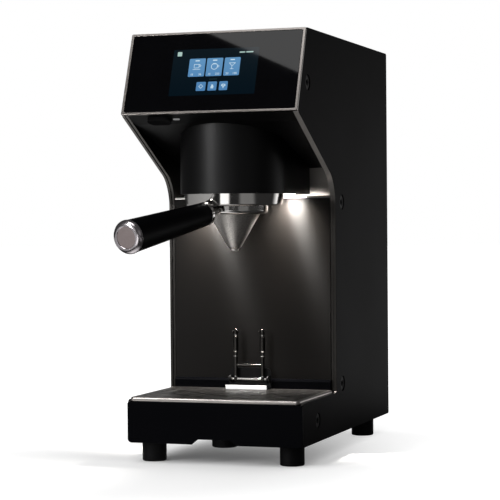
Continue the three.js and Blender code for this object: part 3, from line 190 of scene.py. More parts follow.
# %% Sky and floor
def ray_kinds(start):
    """1 or 0 for each kind of ray: straight from the camera, off a glossy surface, and through glass."""
    path = start.tree.nodes.new("ShaderNodeLightPath")
    return [Socket(start.tree, path.outputs[name])
            for name in ("Is Camera Ray", "Is Glossy Ray", "Is Transmission Ray")]


def band(value, low, high, edge):
    """1 between two values and 0 outside them, with soft edges."""
    return smooth_step(value, low - edge, low + edge) - smooth_step(value, high - edge, high + edge)


def along(vector, turn):
    """How far a place or a direction lies along a level line, turned from the X axis."""
    line = (math.cos(turn), math.sin(turn), 0)
    return vector.node("VectorMath", {"operation": "DOT_PRODUCT"}, {0: vector, 1: line}, 1)


world = bpy.data.worlds.new("white_studio")
world.use_nodes = True
world.node_tree.nodes.clear()
bpy.context.scene.world = world
sky = Socket(world.node_tree, world.node_tree.nodes.new("ShaderNodeTexCoord").outputs["Generated"])
from_camera, off_gloss, through_glass = ray_kinds(sky)
diffuse_level, backdrop_level, room_level, pale_card, grey_card = 0.75, 0.95, 0.05, 0.4, 0.15
sky_right, sky_back, sky_up = along(sky, heading), part_of(sky, 1), part_of(sky, 2)
backdrop_side = smooth_step(sky_back, 0.7, 0.95) * between(smooth_step(sky_up, 0.0, 0.14), 1.0, 0.15)
cards = band(sky_right, -0.74, -0.3, 0.03) * pale_card + band(sky_right, 0.25, 0.75, 0.06) * grey_card
cards_side = (1.0 - smooth_step(sky_back, -0.3, 0.0)) * (1.0 - smooth_step(sky_up, 0.3, 0.6))
gloss_level = room_level + cards * cards_side + backdrop_side * backdrop_level
sky_level = (diffuse_level + (from_camera + through_glass) * (1.0 - diffuse_level)
             + off_gloss * (gloss_level - diffuse_level))
backdrop = sky.node("Background", {}, {"Color": (1, 1, 1, 1), "Strength": sky_level})
sky.node("OutputWorld", {}, {"Surface": backdrop})

floor_finish, place = new_finish("pale_floor")
floor_paint = place.node("BsdfDiffuse", {}, {"Color": (0.8, 0.8, 0.8, 1)})
from_camera, off_gloss, through_glass = ray_kinds(place)
shade_centre, dim_level, far_card = (-0.07, -0.2, 0), 0.03, 0.24
distance = place.node("VectorMath", {"operation": "DISTANCE"}, {0: place, 1: shade_centre}, 1)
glow = (from_camera + off_gloss + through_glass) * between(smooth_step(distance, 0.12, 0.42), 0.06, 0.55)
floor_glow = place.node("Emission", {}, {"Strength": glow})
floor_both = place.node("AddShader", {}, {0: floor_paint, 1: floor_glow})
floor_back, floor_right = along(place, heading + math.pi / 2), along(place, heading)
not_behind = 1.0 - smooth_step(floor_back, 0.2, 0.7) * smooth_step(floor_right, -0.45, -0.3)
near_cards = band(floor_right, -0.45, -0.17, 0.03) + band(floor_right, 0.16, 0.6, 0.06) * grey_card
cards = (near_cards * (1.0 - smooth_step(floor_back, -0.5, -0.38))
         + band(floor_right, -1.6, -0.45, 0.03) * far_card)
dim_room = place.node("Emission", {}, {"Strength": dim_level})
unlit = off_gloss * smooth_step(distance, 0.04, 0.2) * not_behind * (1.0 - cards)
floor_seen = place.node("MixShader", {}, {0: unlit, 1: floor_both, 2: dim_room})
place.node("OutputMaterial", {}, {"Surface": floor_seen})
bpy.ops.mesh.primitive_plane_add(size=30)
floor = bpy.context.object
floor.name = "floor"
floor.data.materials.append(floor_finish)

# %% [markdown]
# Two soft boxes do the lighting. The large one is high at the front left, and its lower edge draws the
# slanting reflection across the display glass. The narrow upright one puts the soft band on the round
# shroud and the bright stripes on the chrome.


# %% Soft boxes
def soft_box(name, centre, across, target, width, height, watts):
    """An area light with its width along a direction, which faces a target as near as it can."""
    across = Vector(across).normalized()
    facing = Vector(target) - Vector(centre)
    back = (facing.dot(across) * across - facing).normalized()
    turn = Matrix((across, back.cross(across), back)).transposed()
    bpy.ops.object.light_add(type="AREA", location=centre, rotation=turn.to_euler())
    lamp = bpy.context.object
    lamp.name = name
    lamp.data.shape = "RECTANGLE"
    lamp.data.size, lamp.data.size_y, lamp.data.energy = width, height, watts


soft_box("high_soft_box", (-0.504, -1.284, 2.248), (0.905, -0.348, -0.243), (0, -0.11, 0.41),
         width=1.4, height=0.8, watts=11)
soft_box("strip_soft_box", (-0.89, -1.50, 0.85), (0.86, -0.51, 0), (0.0, -0.05, 0.33),
         width=0.24, height=0.9, watts=18)

# %% [markdown]
# The machine has two lamps of its own under the shroud. Each is a wide spot below its lens that throws a
# fan of light down the brushed wall, leaning to it so that none falls on the table in front. What the
# right lamp throws at the filter is a narrow spot of its own.

# %% The brewer's own lamps
lamp_x, lamp_y, below_lens = 48, 115, 282.5
to_wall, to_filter = (0, 0.66, -0.75), (-0.6, -0.62, -0.5)
for name, x, aim, spread, watts in (("left_bay_light", -lamp_x, to_wall, 120, 8.0),
                                    ("right_bay_light", lamp_x, to_wall, 120, 8.0),
                                    ("filter_light", lamp_x, to_filter, 56, 4.0)):
    bpy.ops.object.light_add(type="SPOT", location=to_frame @ (Vector((x, lamp_y, below_lens)) * mm))
    lamp = bpy.context.object
    lamp.name = name
    lamp.rotation_euler = Vector(aim).to_track_quat("-Z", "Y").to_euler()
    lamp.data.energy, lamp.data.shadow_soft_size = watts, 0.012
    lamp.data.spot_size, lamp.data.spot_blend = math.radians(spread), 0.8
    lamp.data.color = (1.0, 0.965, 0.92)

# %% [markdown]
# ## Finishes
#
# The housing is sheet steel under a smooth black paint. Its fine ripples and slowly changing gloss keep a
# large black plane from looking like a hole in the picture. Its reflection is weak, because at a grazing
# view it would turn grey in a white room. The duller black has a fine grain.


# %% Black paints
def gloss_paint(name, dark, light, sheen):
    """Smooth paint with fine ripples, whose shade and gloss drift slowly."""
    material, place = new_finish(name)
    ripples, clouds = noise(place, 900, 2.0), noise(place, 9, 2.0)
    return finished(material, place, Base_Color=tint(clouds, dark, light),
                    Roughness=between(clouds, 0.30, 0.38), Specular_IOR_Level=sheen,
                    Normal=bumped(ripples, 0.00001))


def satin_paint(name, grains, dark, light, smooth, rough, sheen):
    """Duller paint with a fine grain, which has that many grains per metre."""
    material, place = new_finish(name)
    grain, clouds = noise(place, grains), noise(place, 14, 2.0)
    return finished(material, place, Base_Color=tint(clouds, dark, light),
                    Roughness=between(grain, smooth, rough), Specular_IOR_Level=sheen,
                    Normal=bumped(grain, 0.000012))


gloss_black = gloss_paint("gloss_black_paint", (0.0026, 0.0026, 0.0031), (0.0046, 0.0044, 0.0044), 0.0022)
front_black = gloss_paint("front_plate_paint", (0.0007, 0.0008, 0.0013), (0.0013, 0.0013, 0.0018), 0.02)
satin_black = satin_paint("satin_black_paint", 1800, (0.0010, 0.0010, 0.0012), (0.0018, 0.0018, 0.0021),
                          0.40, 0.50, 0.12)
shroud_black = satin_paint("shroud_paint", 1400, (0.0004, 0.0004, 0.0006), (0.0009, 0.0009, 0.0011),
                           0.38, 0.45, 0.26)

# %% [markdown]
# Moulded plastic has a coarser, duller skin than paint, and the sleeve of the handle is softer still.

# %% Plastics and rubber
black_plastic, place = new_finish("black_plastic")
grain = noise(place, 2600, 4.0, 0.6)
finished(black_plastic, place,
         Base_Color=tint(grain, (0.0008, 0.0008, 0.0011), (0.0022, 0.0022, 0.0026)),
         Roughness=between(grain, 0.45, 0.6), Specular_IOR_Level=0.10, Normal=bumped(grain, 0.00003))

soft_grip, place = new_finish("soft_grip")
grain, rubbed = noise(place, 3600, 3.0, 0.6), noise(place, 30)
finished(soft_grip, place,
         Base_Color=tint(rubbed, (0.0005, 0.0005, 0.0008), (0.0012, 0.0012, 0.0016)),
         Roughness=between(rubbed, 0.38, 0.50), Specular_IOR_Level=0.05, Normal=bumped(grain, 0.00002))

# The lip has a faint painted glow of its own, a white emission of 0.25, so that it reads white in any
# light.
white_silicone, place = new_finish("white_silicone")
grain = noise(place, 1500, 2.0)
finished(white_silicone, place, Base_Color=tint(grain, (0.86, 0.86, 0.85), (0.93, 0.93, 0.92)),
         Roughness=0.5, Normal=bumped(grain, 0.00001), Emission_Color=(1, 1, 1, 1), Emission_Strength=0.25)

seal_rubber, place = new_finish("seal_rubber")
grain = noise(place, 1200)
finished(seal_rubber, place, Base_Color=tint(grain, (0.02, 0.018, 0.016), (0.04, 0.036, 0.032)),
         Roughness=0.8, Normal=bumped(grain, 0.00003))

# %% [markdown]
# ### Metals
#
# Brushed steel is drawn over a belt, so its scratches all run one way. A noise stretched a hundred times
# longer along the scratches than across them gives both the fine lines and, through the bump, the way a
# lamp smears across them. Chrome and brass are smooth, with smears in their gloss.


# %% Brushed and polished metal
def brushed(name, dark, light, lines, roughness, depth, **more):
    """Brushed metal. lines gives the number of scratches per metre along X, Y and Z."""
    material, place = new_finish(name)
    scratches, clouds = noise(place, lines, 2.0, 0.7), noise(place, 7, 2.0)
    shade = between(scratches, 0.25, 0.75) * between(clouds, 0.7, 1.3)
    return finished(material, place, Base_Color=tint(shade, dark, light),
                    Roughness=between(scratches, roughness - 0.06, roughness + 0.08),
                    Normal=bumped(scratches, depth), **{"Metallic": 1.0, **more})


def plated(name, scale, dark, light, smooth, rough, detail=3.0):
    """Smooth metal with smears in its gloss."""
    material, place = new_finish(name)
    smears = noise(place, scale, detail)
    return finished(material, place, Base_Color=tint(smears, dark, light), Metallic=1.0,
                    Roughness=between(smears, smooth, rough))


# The wall's colour is painted shade: it is nearly black to stand for the dim bay, though the sheet is
# brushed steel.
wall_steel_painted_shade = brushed("brushed_wall_painted_shade", (0.0020, 0.0018, 0.0016), (0.0062, 0.0055, 0.0050),
                     (10, 1600, 1600), 0.42, 0.000012, Metallic=0.0, Specular_IOR_Level=0.045,
                     Anisotropic=0.94, Anisotropic_Rotation=0.25)
# The fold is painted near white: a painted highlight for the light it catches, on the same steel as the
# wall.
fold_painted_highlight = brushed("fold_steel_painted_highlight", (0.70, 0.68, 0.65), (0.86, 0.84, 0.81), (14, 900, 900), 0.5, 0.000004)
hood_steel = brushed("brushed_hood_steel", (0.17, 0.159, 0.149), (0.33, 0.309, 0.290), (14, 3000, 3000),
                     0.42, 0.000004)
tray_steel = brushed("brushed_tray_steel", (0.28, 0.26, 0.245), (0.56, 0.525, 0.50), (30, 2400, 2400),
                     0.30, 0.000008)
grille_steel = brushed("brushed_grille_steel", (0.035, 0.032, 0.030), (0.20, 0.187, 0.177),
                       (24, 1500, 1500), 0.34, 0.00002)
champagne = brushed("champagne_trim", (0.16, 0.147, 0.139), (0.27, 0.248, 0.235), (12, 500, 500),
                    0.22, 0.000001)
chrome = plated("chrome_plate", 60, (0.60, 0.585, 0.565), (0.68, 0.66, 0.64), 0.06, 0.11)
cap_chrome = plated("cap_chrome", 300, (0.56, 0.52, 0.545), (0.62, 0.58, 0.6), 0.17, 0.23, 2.0)
satin_chrome = plated("satin_chrome", 500, (0.34, 0.285, 0.28), (0.42, 0.355, 0.35), 0.36, 0.44)
dark_chrome = plated("dark_chrome", 200, (0.05, 0.047, 0.044), (0.08, 0.075, 0.07), 0.1, 0.18)
brass = plated("machined_brass", (400, 3000, 400), (0.42, 0.30, 0.12), (0.62, 0.47, 0.22), 0.25, 0.4, 2.0)

# %% [markdown]
# The milled edges of the side plates carry painted light and shade. The same edge is painted bright along
# the hood, above 290 mm, where it catches light, and dark beside the wall, in the shade of the bay.

# %% Milled edges, galvanised sheet and circuit board
edge_metal_painted_light, place = new_finish("painted_light_edge")
scratches = noise(place, (300, 300, 120), 2.0, 0.7)
# Painted highlight: the edge's colour turns bright above the hood line, and stays dark below it as painted
# shade.
hood_highlight = smooth_step(part_of(place, 2), 0.27, 0.31)
shade = hood_highlight * between(scratches, 0.7, 1.2)
finished(edge_metal_painted_light, place, Base_Color=tint(shade, (0.035, 0.033, 0.031), (0.17, 0.161, 0.152)),
         Metallic=between(hood_highlight, 1.0, 0.35), Roughness=between(scratches, 0.26, 0.36),
         Normal=bumped(scratches, 0.000002))

galvanised, place = new_finish("galvanised_sheet")
spangle = place.node("TexVoronoi", {}, {"Vector": place, "Scale": 130.0}, 1)
flake = spangle.node("SeparateColor", {}, {"Color": spangle})
finished(galvanised, place, Base_Color=tint(flake, (0.30, 0.31, 0.32), (0.46, 0.47, 0.48)), Metallic=1.0,
         Roughness=between(flake, 0.38, 0.55))

circuit_board, place = new_finish("circuit_board")
tracks = place.node("TexBrick", {"offset": 0.5}, {
    "Vector": stretched(place, 160), "Color1": (0.012, 0.09, 0.04, 1),
    "Color2": (0.018, 0.12, 0.055, 1), "Mortar": (0.05, 0.16, 0.08, 1), "Mortar Size": 0.03}, 0)
finished(circuit_board, place, Base_Color=tracks, Roughness=0.35)

# %% [markdown]
# The conical filter is photo-etched with thousands of tiny holes, so its wall reads as a grey, sandy
# metal. A fine cell pattern in the colour and the bump gives that grain.

# %% Etched filter metal
etched, place = new_finish("etched_filter")
holes = place.node("TexVoronoi", {}, {"Vector": place, "Scale": 1100.0})
rims = smooth_step(holes, 0.15, 0.45)
sand = noise(place, 2500, 3.0, 0.65)
shade = rims * between(sand, 0.6, 1.2)
finished(etched, place, Base_Color=tint(shade, (0.19, 0.178, 0.167), (0.78, 0.74, 0.70)), Metallic=1.0,
         Roughness=between(sand, 0.28, 0.42), Normal=bumped(rims, 0.00004))

# %% [markdown]
# ### Glass and light
#
# The display glass is black and mirror smooth. What shines through it is made of thin plates later on.
# The lamps, the indicator and the screen give light themselves.

# %% Glass, screen and lamp finishes
black_glass, place = new_finish("black_glass")
dust = noise(place, 40, 4.0)
finished(black_glass, place, Base_Color=tint(dust, (0.0006, 0.0006, 0.0009), (0.0012, 0.0012, 0.0016)),
         Roughness=between(dust, 0.015, 0.03), Specular_IOR_Level=0.24)


def lit(name, low_colour, high_colour, low_z, high_z, strength=1.0):
    """A surface that gives light, from one colour at a low height to another at a high one."""
    material, place = new_finish(name)
    rise = smooth_step(part_of(place, 2), low_z, high_z)
    return finished(material, place, Base_Color=(0, 0, 0, 1), Roughness=0.03, Specular_IOR_Level=0.24,
                    Emission_Color=tint(rise, low_colour, high_colour), Emission_Strength=strength)


screen_dark = lit("screen_dark", (0.0012, 0.0055, 0.010), (0.0035, 0.0085, 0.013), 0.385, 0.437)
tile_blue = lit("tile_blue", (0.075, 0.215, 0.43), (0.115, 0.285, 0.51), 0.39, 0.43)
icon_light = lit("icon_light", (0.50, 0.68, 0.80), (0.62, 0.78, 0.86), 0.39, 0.43)
mark_green = lit("mark_green", (0.25, 0.42, 0.40), (0.40, 0.56, 0.52), 0.39, 0.44)
mark_dim = lit("mark_dim", (0.02, 0.05, 0.06), (0.03, 0.07, 0.08), 0.39, 0.44)
lamp_white = lit("lamp_white", (1.0, 0.98, 0.95), (1.0, 1.0, 1.0), 0.28, 0.30, strength=6.0)
indicator_white = lit("indicator_white", (0.15, 0.15, 0.15), (0.20, 0.20, 0.20), 0.35, 0.37)

# %% [markdown]
# ## Dressing the solids
#
# Every solid first gets the finish of its slot in the record, also what is seen only through the vents.
# The ones that need finer edges or rounder forms are then replaced.

# %% Finishes on the solids
slot_finish = {
    "gloss_black": gloss_black, "satin_black": satin_black, "champagne_trim": champagne,
    "black_glass": black_glass, "circuit_board": circuit_board, "black_plastic": black_plastic,
    "lamp_white": lamp_white, "chrome_metal": chrome, "brushed_metal": tray_steel, "grip_black": soft_grip,
    "white_silicone": white_silicone, "seal_rubber": seal_rubber, "galvanised_steel": galvanised,
    "brass_fittings": brass,
}
for row in frame["record"]["subparts"]:
    node = frame["nodes"][row["node"]]
    node.data.materials.clear()
    node.data.materials.append(slot_finish[row["material_slot"]])
frame["nodes"]["hood_rear_wall"].data.materials[0] = hood_steel
frame["nodes"]["backsplash_sill"].data.materials[0] = front_black

# %% [markdown]
# ## Modelling helpers
#
# Most pieces are turned on a lathe or cut from plate. `turned` adds a circle and extrudes it ring by
# ring, scaling each new ring. `plate` adds a filled circle, moves each vertex to its corner, rounds it
# with the bevel operator and extrudes the face. `dowel` and `slab` are their plainest forms, mostly
# cutters.


# %% Modelling helpers
tiny = 0.00001  # metres


def clear_selection():
    bpy.ops.object.select_all(action="DESELECT")


def pick(piece):
    """Makes a piece the only selected one, and the active one."""
    clear_selection()
    piece.select_set(True)
    bpy.context.view_layer.objects.active = piece


def named(name):
    """Gives the object that was just added its name."""
    piece = bpy.context.object
    piece.name = piece.data.name = name
    return piece


def end_editing():
    """Turns all faces outward and leaves edit mode."""
    bpy.ops.mesh.select_all(action="SELECT")
    bpy.ops.mesh.normals_make_consistent(inside=False)
    bpy.ops.object.mode_set(mode="OBJECT")


def rounded(profile, steps=6):
    """A profile of (u, v, radius) points with each corner that has a radius turned into an arc."""
    points = []
    for index, (u, v, *radius) in enumerate(profile):
        corner = Vector((u, v))
        if not radius:
            points.append((u, v))
            continue
        back = (Vector(profile[index - 1][:2]) - corner).normalized()
        ahead = (Vector(profile[(index + 1) % len(profile)][:2]) - corner).normalized()
        half = back.angle(ahead) / 2
        middle = corner + (back + ahead).normalized() * (radius[0] / math.sin(half))
        first = corner + back * (radius[0] / math.tan(half)) - middle
        last = corner + ahead * (radius[0] / math.tan(half)) - middle
        for step in range(steps + 1):
            direction = first.lerp(last, 0.5 - math.cos(math.pi * step / steps) / 2).normalized()
            points.append(tuple(middle + direction * radius[0]))
    return points


def turned(name, profile, sides=96, hollow=False):
    """A piece turned about Z from (radius, height) rings. A hollow one is closed back to its first ring."""
    clear_selection()
    rings = rounded(profile)
    if hollow:
        rings.append(rings[0])
    radius, height = rings[0]
    bpy.ops.mesh.primitive_circle_add(vertices=sides, radius=radius * mm, location=(0, 0, height * mm),
                                      fill_type="NOTHING" if hollow else "NGON")
    piece = named(name)
    bpy.ops.object.mode_set(mode="EDIT")
    bpy.ops.mesh.select_all(action="SELECT")
    for next_radius, next_height in rings[1:]:
        bpy.ops.mesh.extrude_region_move(
            TRANSFORM_OT_translate={"value": (0, 0, (next_height - height) * mm)})
        scale = next_radius / radius
        bpy.ops.transform.resize(value=(scale, scale, 1), center_override=(0, 0, next_height * mm))
        radius, height = next_radius, next_height
    bpy.ops.mesh.select_all(action="SELECT")
    bpy.ops.mesh.remove_doubles(threshold=tiny)
    end_editing()
    bpy.ops.object.transform_apply(location=True, rotation=True, scale=True)
    return smoothed(piece)


def dowel(radius, low, high, sides=48):
    """A plain round bar along Z."""
    return turned("dowel", [(radius, low), (radius, high)], sides)


def smoothed(piece):
    """Shades a piece smooth, except over sharp edges, and keeps its large faces flat."""
    pick(piece)
    bpy.ops.object.shade_smooth_by_angle(angle=math.radians(30))
    return with_modifier(piece, "WEIGHTED_NORMAL", mode="FACE_AREA", weight=100, keep_sharp=True)


def plate(name, normal, corners, low, high, segments=8):
    """A flat piece across an axis: an outline of (u, v, corner radius), from low to high along the axis."""
    clear_selection()
    bpy.ops.mesh.primitive_circle_add(vertices=len(corners), radius=0.1, fill_type="NGON")
    piece = named(name)
    order = {"X": (2, 0, 1), "Y": (0, 2, 1), "Z": (0, 1, 2)}[normal]
    for vertex, (u, v, *_) in zip(piece.data.vertices, corners):
        vertex.co = [(u, v, low)[axis] * mm for axis in order]
    spots = [vertex.co.copy() for vertex in piece.data.vertices]
    bpy.ops.object.mode_set(mode="EDIT")
    bpy.ops.mesh.select_mode(type="VERT")
    for index, (_, _, *radius) in enumerate(corners):
        if radius:
            back, ahead = spots[index - 1] - spots[index], spots[(index + 1) % len(spots)] - spots[index]
            reach = radius[0] * mm / math.tan(back.angle(ahead) / 2)
            select_vertices(piece, lambda place: (place - spots[index]).length < tiny)
            bpy.ops.mesh.bevel(affect="VERTICES", offset_type="OFFSET", offset=reach, segments=segments)
    bpy.ops.mesh.select_all(action="SELECT")
    thickness = [(0, 0, high - low)[axis] * mm for axis in order]
    bpy.ops.mesh.extrude_region_move(TRANSFORM_OT_translate={"value": thickness})
    end_editing()
    return piece


def select_vertices(piece, wanted):
    """In edit mode, selects only the vertices whose place passes the test."""
    bpy.ops.mesh.select_all(action="DESELECT")
    mesh = bmesh.from_edit_mesh(piece.data)
    for vertex in mesh.verts:
        vertex.select = wanted(vertex.co)
    mesh.select_flush_mode()
    bmesh.update_edit_mesh(piece.data)


def box_corners(left, low, right, high, radius):
    return [(left, low, radius), (right, low, radius), (right, high, radius), (left, high, radius)]


def slab(name, left, low, right, high, radius, bottom, top, **more):
    """A level plate with four rounded corners."""
    return plate(name, "Z", box_corners(left, low, right, high, radius), bottom, top, **more)


def with_modifier(piece, kind, **settings):
    """Adds a modifier with its settings and applies it."""
    modifier = piece.modifiers.new(kind.lower(), kind)
    for name, value in settings.items():
        setattr(modifier, name, value)
    pick(piece)
    bpy.ops.object.modifier_apply(modifier=modifier.name)
    return piece


def softened(piece, width, segments=3):
    """Rounds every sharp edge of a piece by a width in millimetres."""
    with_modifier(piece, "BEVEL", width=width * mm, segments=segments, limit_method="ANGLE",
                  angle_limit=math.radians(32))
    return smoothed(piece)


def carved(piece, *cutters, operation="DIFFERENCE"):
    """Cuts the cutters out of a piece, or adds them to it, and removes them."""
    for cutter in cutters:
        with_modifier(piece, "BOOLEAN", operation=operation, solver="EXACT", object=cutter)
        bpy.data.objects.remove(cutter)
    return piece


def joined(first, *others):
    """Makes several pieces one."""
    pick(first)
    for other in others:
        other.select_set(True)
    bpy.ops.object.join()
    return first


def placed(piece, *turns, x=0, y=0, z=0):
    """Turns a piece's mesh by each (angle, axis) and then moves it by millimetres."""
    for angle, axis in turns:
        piece.data.transform(Matrix.Rotation(math.radians(angle), 4, axis))
    piece.data.transform(Matrix.Translation((x * mm, y * mm, z * mm)))
    return piece


def twin(piece, name):
    """A copy of a piece with a mesh of its own."""
    other = bpy.data.objects.new(name, piece.data.copy())
    other.data.name = name
    bpy.context.scene.collection.objects.link(other)
    return other


def dress(piece, slot, *nodes, body="housing", finish=None, second=None, where=None):
    """Gives a modelled piece its finish, moves it into the frame, hangs it on the empty of the body it
    rides on, and hides the solids it replaces.

    The finish is that of the slot, if no other is given. A second finish goes on the faces that the test
    where(face) picks before the move."""
    piece.data.materials.clear()
    piece.data.materials.append(finish or slot_finish[slot])
    if second:
        piece.data.materials.append(second)
    for face in piece.data.polygons:
        face.material_index = 1 if second and where(face) else 0
    piece.data.transform(to_frame)
    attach(piece, body)
    if nodes:
        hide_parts(*nodes)


# %% [markdown]
# ## Side panels
#
# Each side of the housing is a steel panel with a bay cut out of its front, and a second plate lies just
# inside it. Their two edges draw the double line round the bay. The outline follows from the lean of the
# display and the slope of the bay's ceiling. Every edge is softened, because a real edge catches a thin
# line of light.


# %% Side panels and cheeks
height, front, rear, underside = 457, 2.8, 354, 21.5
lean, slope = math.radians(21), math.radians(27.6)
nose_y, nose_z, column_y = -7.41, 367.78, 127.7


def side_corners(inset, shelf):
    """The outline of a side plate in Y and Z, inset from the outer panel's edge."""
    face = nose_y * math.cos(lean) - nose_z * math.sin(lean) + inset
    ceiling = nose_y * math.sin(slope) + nose_z * math.cos(slope) + inset
    top, column = height - inset, column_y + inset
    across = math.cos(lean - slope)
    lip_y = (face * math.cos(slope) + ceiling * math.sin(lean)) / across
    lip_z = (ceiling * math.cos(lean) - face * math.sin(slope)) / across
    return [
        (front + inset, underside + inset, 4.5), (rear - inset, underside + inset, 2.5),
        (rear - inset, top, 2.5), ((face + top * math.sin(lean)) / math.cos(lean), top, 2.5),
        (lip_y, lip_z, 2.5),
        (column, (ceiling - column * math.sin(slope)) / math.cos(slope), 38.5), (column, shelf, 2.5),
        (front + inset, shelf, 2.5),
    ]


def side_plate(name, sign, inset, shelf, near, far, cutters):
    """One plate of a side between two distances from the middle, with its bolt holes cut."""
    made = plate(name, "X", side_corners(inset, shelf), *sorted((sign * near, sign * far)), segments=14)
    return softened(carved(made, *cutters), 0.4)


def on_bay_edge(face):
    """True for the narrow faces along the bay, from the lip of the head down to the tray."""
    by_bay = face.center.y < 131 * mm and 66 * mm < face.center.z < 368.5 * mm
    return by_bay and abs(face.normal.x) < 0.9 and face.normal.y < 0.3


bolt_places, bolt_seat = [(28.1, 399.9), (153.7, 276.2), (152.3, 75.3), (56.1, 44.2)], 95.1
for side, sign in (("left", -1), ("right", 1)):
    sinks = [placed(turned("sink", [(3.2, -2), (3.2, 0), (8.3, 0), (8.3, 5)], 48), (sign * 90, "Y"),
                    x=sign * bolt_seat, y=y, z=z) for y, z in bolt_places]
    holes = [placed(dowel(3.2, -2, 6, 32), (90, "Y"), x=sign * 92, y=y, z=z) for y, z in bolt_places]
    panel = side_plate(f"{side}_panel", sign, 0, 67.3, 94.5, 97.5, sinks)
    cheek = side_plate(f"{side}_cheek", sign, 1, 65.2, 91.3, 94.2, holes)
    dress(panel, "gloss_black", f"{side}_side_panel", second=edge_metal_painted_light, where=on_bay_edge)
    dress(cheek, "satin_black", f"{side}_frame_cheek", second=edge_metal_painted_light, where=on_bay_edge)

# %% [markdown]
# The bolts are socket-head screws in shallow sinks. One is turned, its hexagon socket is cut, and all
# eight are copies of it.

# %% Bolts
bolt = turned("bolt", [(3, -3.7), (3, 0.3), (7.2, 0.3), (7.9, 0.9), (7.9, 1.1, 0.3), (6.9, 1.5), (4.4, 1.5),
                       (4.0, 1.2)], 48)
softened(carved(bolt, dowel(3.3, -0.7, 3, 6)), 0.15, 2)
for side, sign in (("left", -1), ("right", 1)):
    for number, (y, z) in enumerate(bolt_places, 1):
        copy = placed(twin(bolt, f"{side}_bolt_{number}"), (sign * 90, "Y"), x=sign * bolt_seat, y=y, z=z)
        dress(copy, "black_plastic", f"{side}_side_bolt_{number}")
bpy.data.objects.remove(bolt)
print("bolts:", 2 * len(bolt_places))

# %% [markdown]
# ## Base
#
# The front plate of the base has a notch at its foot, so that a drain hose can leave under the tray. Four
# rubber feet carry the machine, and a black cup catches the drain of the tray.

# %% Front plate, feet and drain cup
front_plate = plate("front_plate", "Y", [
    (-97.5, 21.5, 4.5), (-25, 21.5, 1), (-18, 27, 1), (18, 27, 1), (25, 21.5, 1), (97.5, 21.5, 4.5),
    (97.5, 65.2, 2.5), (-97.5, 65.2, 2.5)], 0, 2.5)
dress(softened(front_plate, 0.4), "gloss_black", "base_front_panel", finish=front_black)

foot = turned("foot", [(8, 0), (8.6, 0.8), (10.2, 0.8), (10.8, 0), (13, 0, 1.6), (13, 22.4), (12.2, 23.2),
                       (12.2, 24), (13, 24.8), (13, 27), (3, 27), (3, 36)], 64)
for end, y in (("front", 27.3), ("rear", 306)):
    for side, x in (("left", -77.5), ("right", 77.5)):
        copy = placed(twin(foot, f"{end}_{side}_rubber_foot"), x=x, y=y)
        dress(copy, "black_plastic", f"{end}_{side}_foot")
bpy.data.objects.remove(foot)

drain_y = 35
cup = turned("drain_funnel", [(5, 16), (13.7, 16, 2), (13.7, 29.6), (17.5, 29.6, 0.5), (17.5, 31.1, 0.5),
                              (12.2, 31.1), (12.2, 17.5), (5, 17.5)], 64, hollow=True)
dress(placed(cup, y=drain_y), "black_plastic", "drain_cup")

# %% [markdown]
# ## Display head
#
# The glass spans the whole width and sits just below a thin frame of anodised aluminium, the one warm
# line on the machine. The frame is modelled flat, as a plate with its middle cut out, and leaned back.


# %% Display frame
def on_head(piece):
    """Leans a flat piece onto the head: X stays across, Y runs up the slant, Z points out of it."""
    return placed(piece, (69, "X"), y=-10.49, z=368.96)


rim = slab("display_frame", -97.5, 0, 97.5, 94.3, 1.5, -3, 0)
window = slab("window", -94.5, 2.6, 94.5, 91.7, 1.2, -9, 9)
dress(on_head(softened(carved(rim, window), 0.5)), "champagne_trim", "display_bezel")

# %% [markdown]
# The lit screen is a stack of very thin plates on the glass, all below the frame: the dark screen, the
# blue keys, and on them pale pictograms and numbers.


# %% Screen and keys
key_low, key_top, mark_low, mark_top = -0.31, -0.22, -0.23, -0.16


def screen_plate(left, low, right, high, radius, bottom=key_low, top=key_top):
    return slab("key", left, low, right, high, radius, bottom, top, segments=4)


def show(name, finish, *plates):
    """Makes thin plates one piece of the screen."""
    plates[0].name = name
    dress(on_head(joined(*plates)), "black_glass", finish=finish)


show("lit_screen", screen_dark, screen_plate(-46.3, 20.2, 48.8, 73.6, 0.4, -0.44, -0.3))
big_keys = [(-27.3, -9.3), (-7.6, 10.1), (12.1, 29.4)]
small_keys = [(-16.4, -6.0), (-3.5, 6.3), (9.1, 18.4)]
keys = [screen_plate(left, 41.8, right, 62.6, 1.1) for left, right in big_keys]
keys += [screen_plate(left, 25.2, right, 35.4, 1.0) for left, right in small_keys]
show("screen_keys", tile_blue, *keys)


# %% [markdown]
# The pictograms are bars, rings and numbers. They show a cup on a saucer, a round jug and a stemmed
# glass, over plain amounts, and below them a tilted square, a spray and a fan.


# %% Pictograms
def bar(left, low, right, high, turn=0.0):
    """A thin pale bar on the keys, turned about its own middle."""
    x, y = (left + right) / 2, (low + high) / 2
    flat = slab("bar", left - x, low - y, right - x, high - y, 0.12, mark_low, mark_top, segments=2)
    return placed(flat, (turn, "Z"), x=x, y=y)


def bars_at(x, *outlines):
    """Several bars, with their left and right counted from x."""
    return [bar(x + left, low, x + right, high, *turn) for left, low, right, high, *turn in outlines]


def ring(x, y, radius, line=0.45, sides=32, flat=1.0):
    """A thin pale ring on the keys."""
    profile = [(radius - line, mark_low), (radius, mark_low), (radius, mark_top), (radius - line, mark_top)]
    made = turned("ring", profile, sides, hollow=True)
    made.data.transform(Matrix.Diagonal((1, flat, 1, 1)))
    return placed(made, x=x, y=y)


def amount(text, x, y):
    """A number on the keys, made solid."""
    clear_selection()
    bpy.ops.object.text_add()
    made = bpy.context.object
    made.data.body, made.data.size, made.data.align_x = text, 3.3 * mm, "CENTER"
    made.data.extrude = 0.03 * mm
    bpy.ops.object.convert(target="MESH")
    return placed(bpy.context.object, x=x, y=y, z=-0.19)


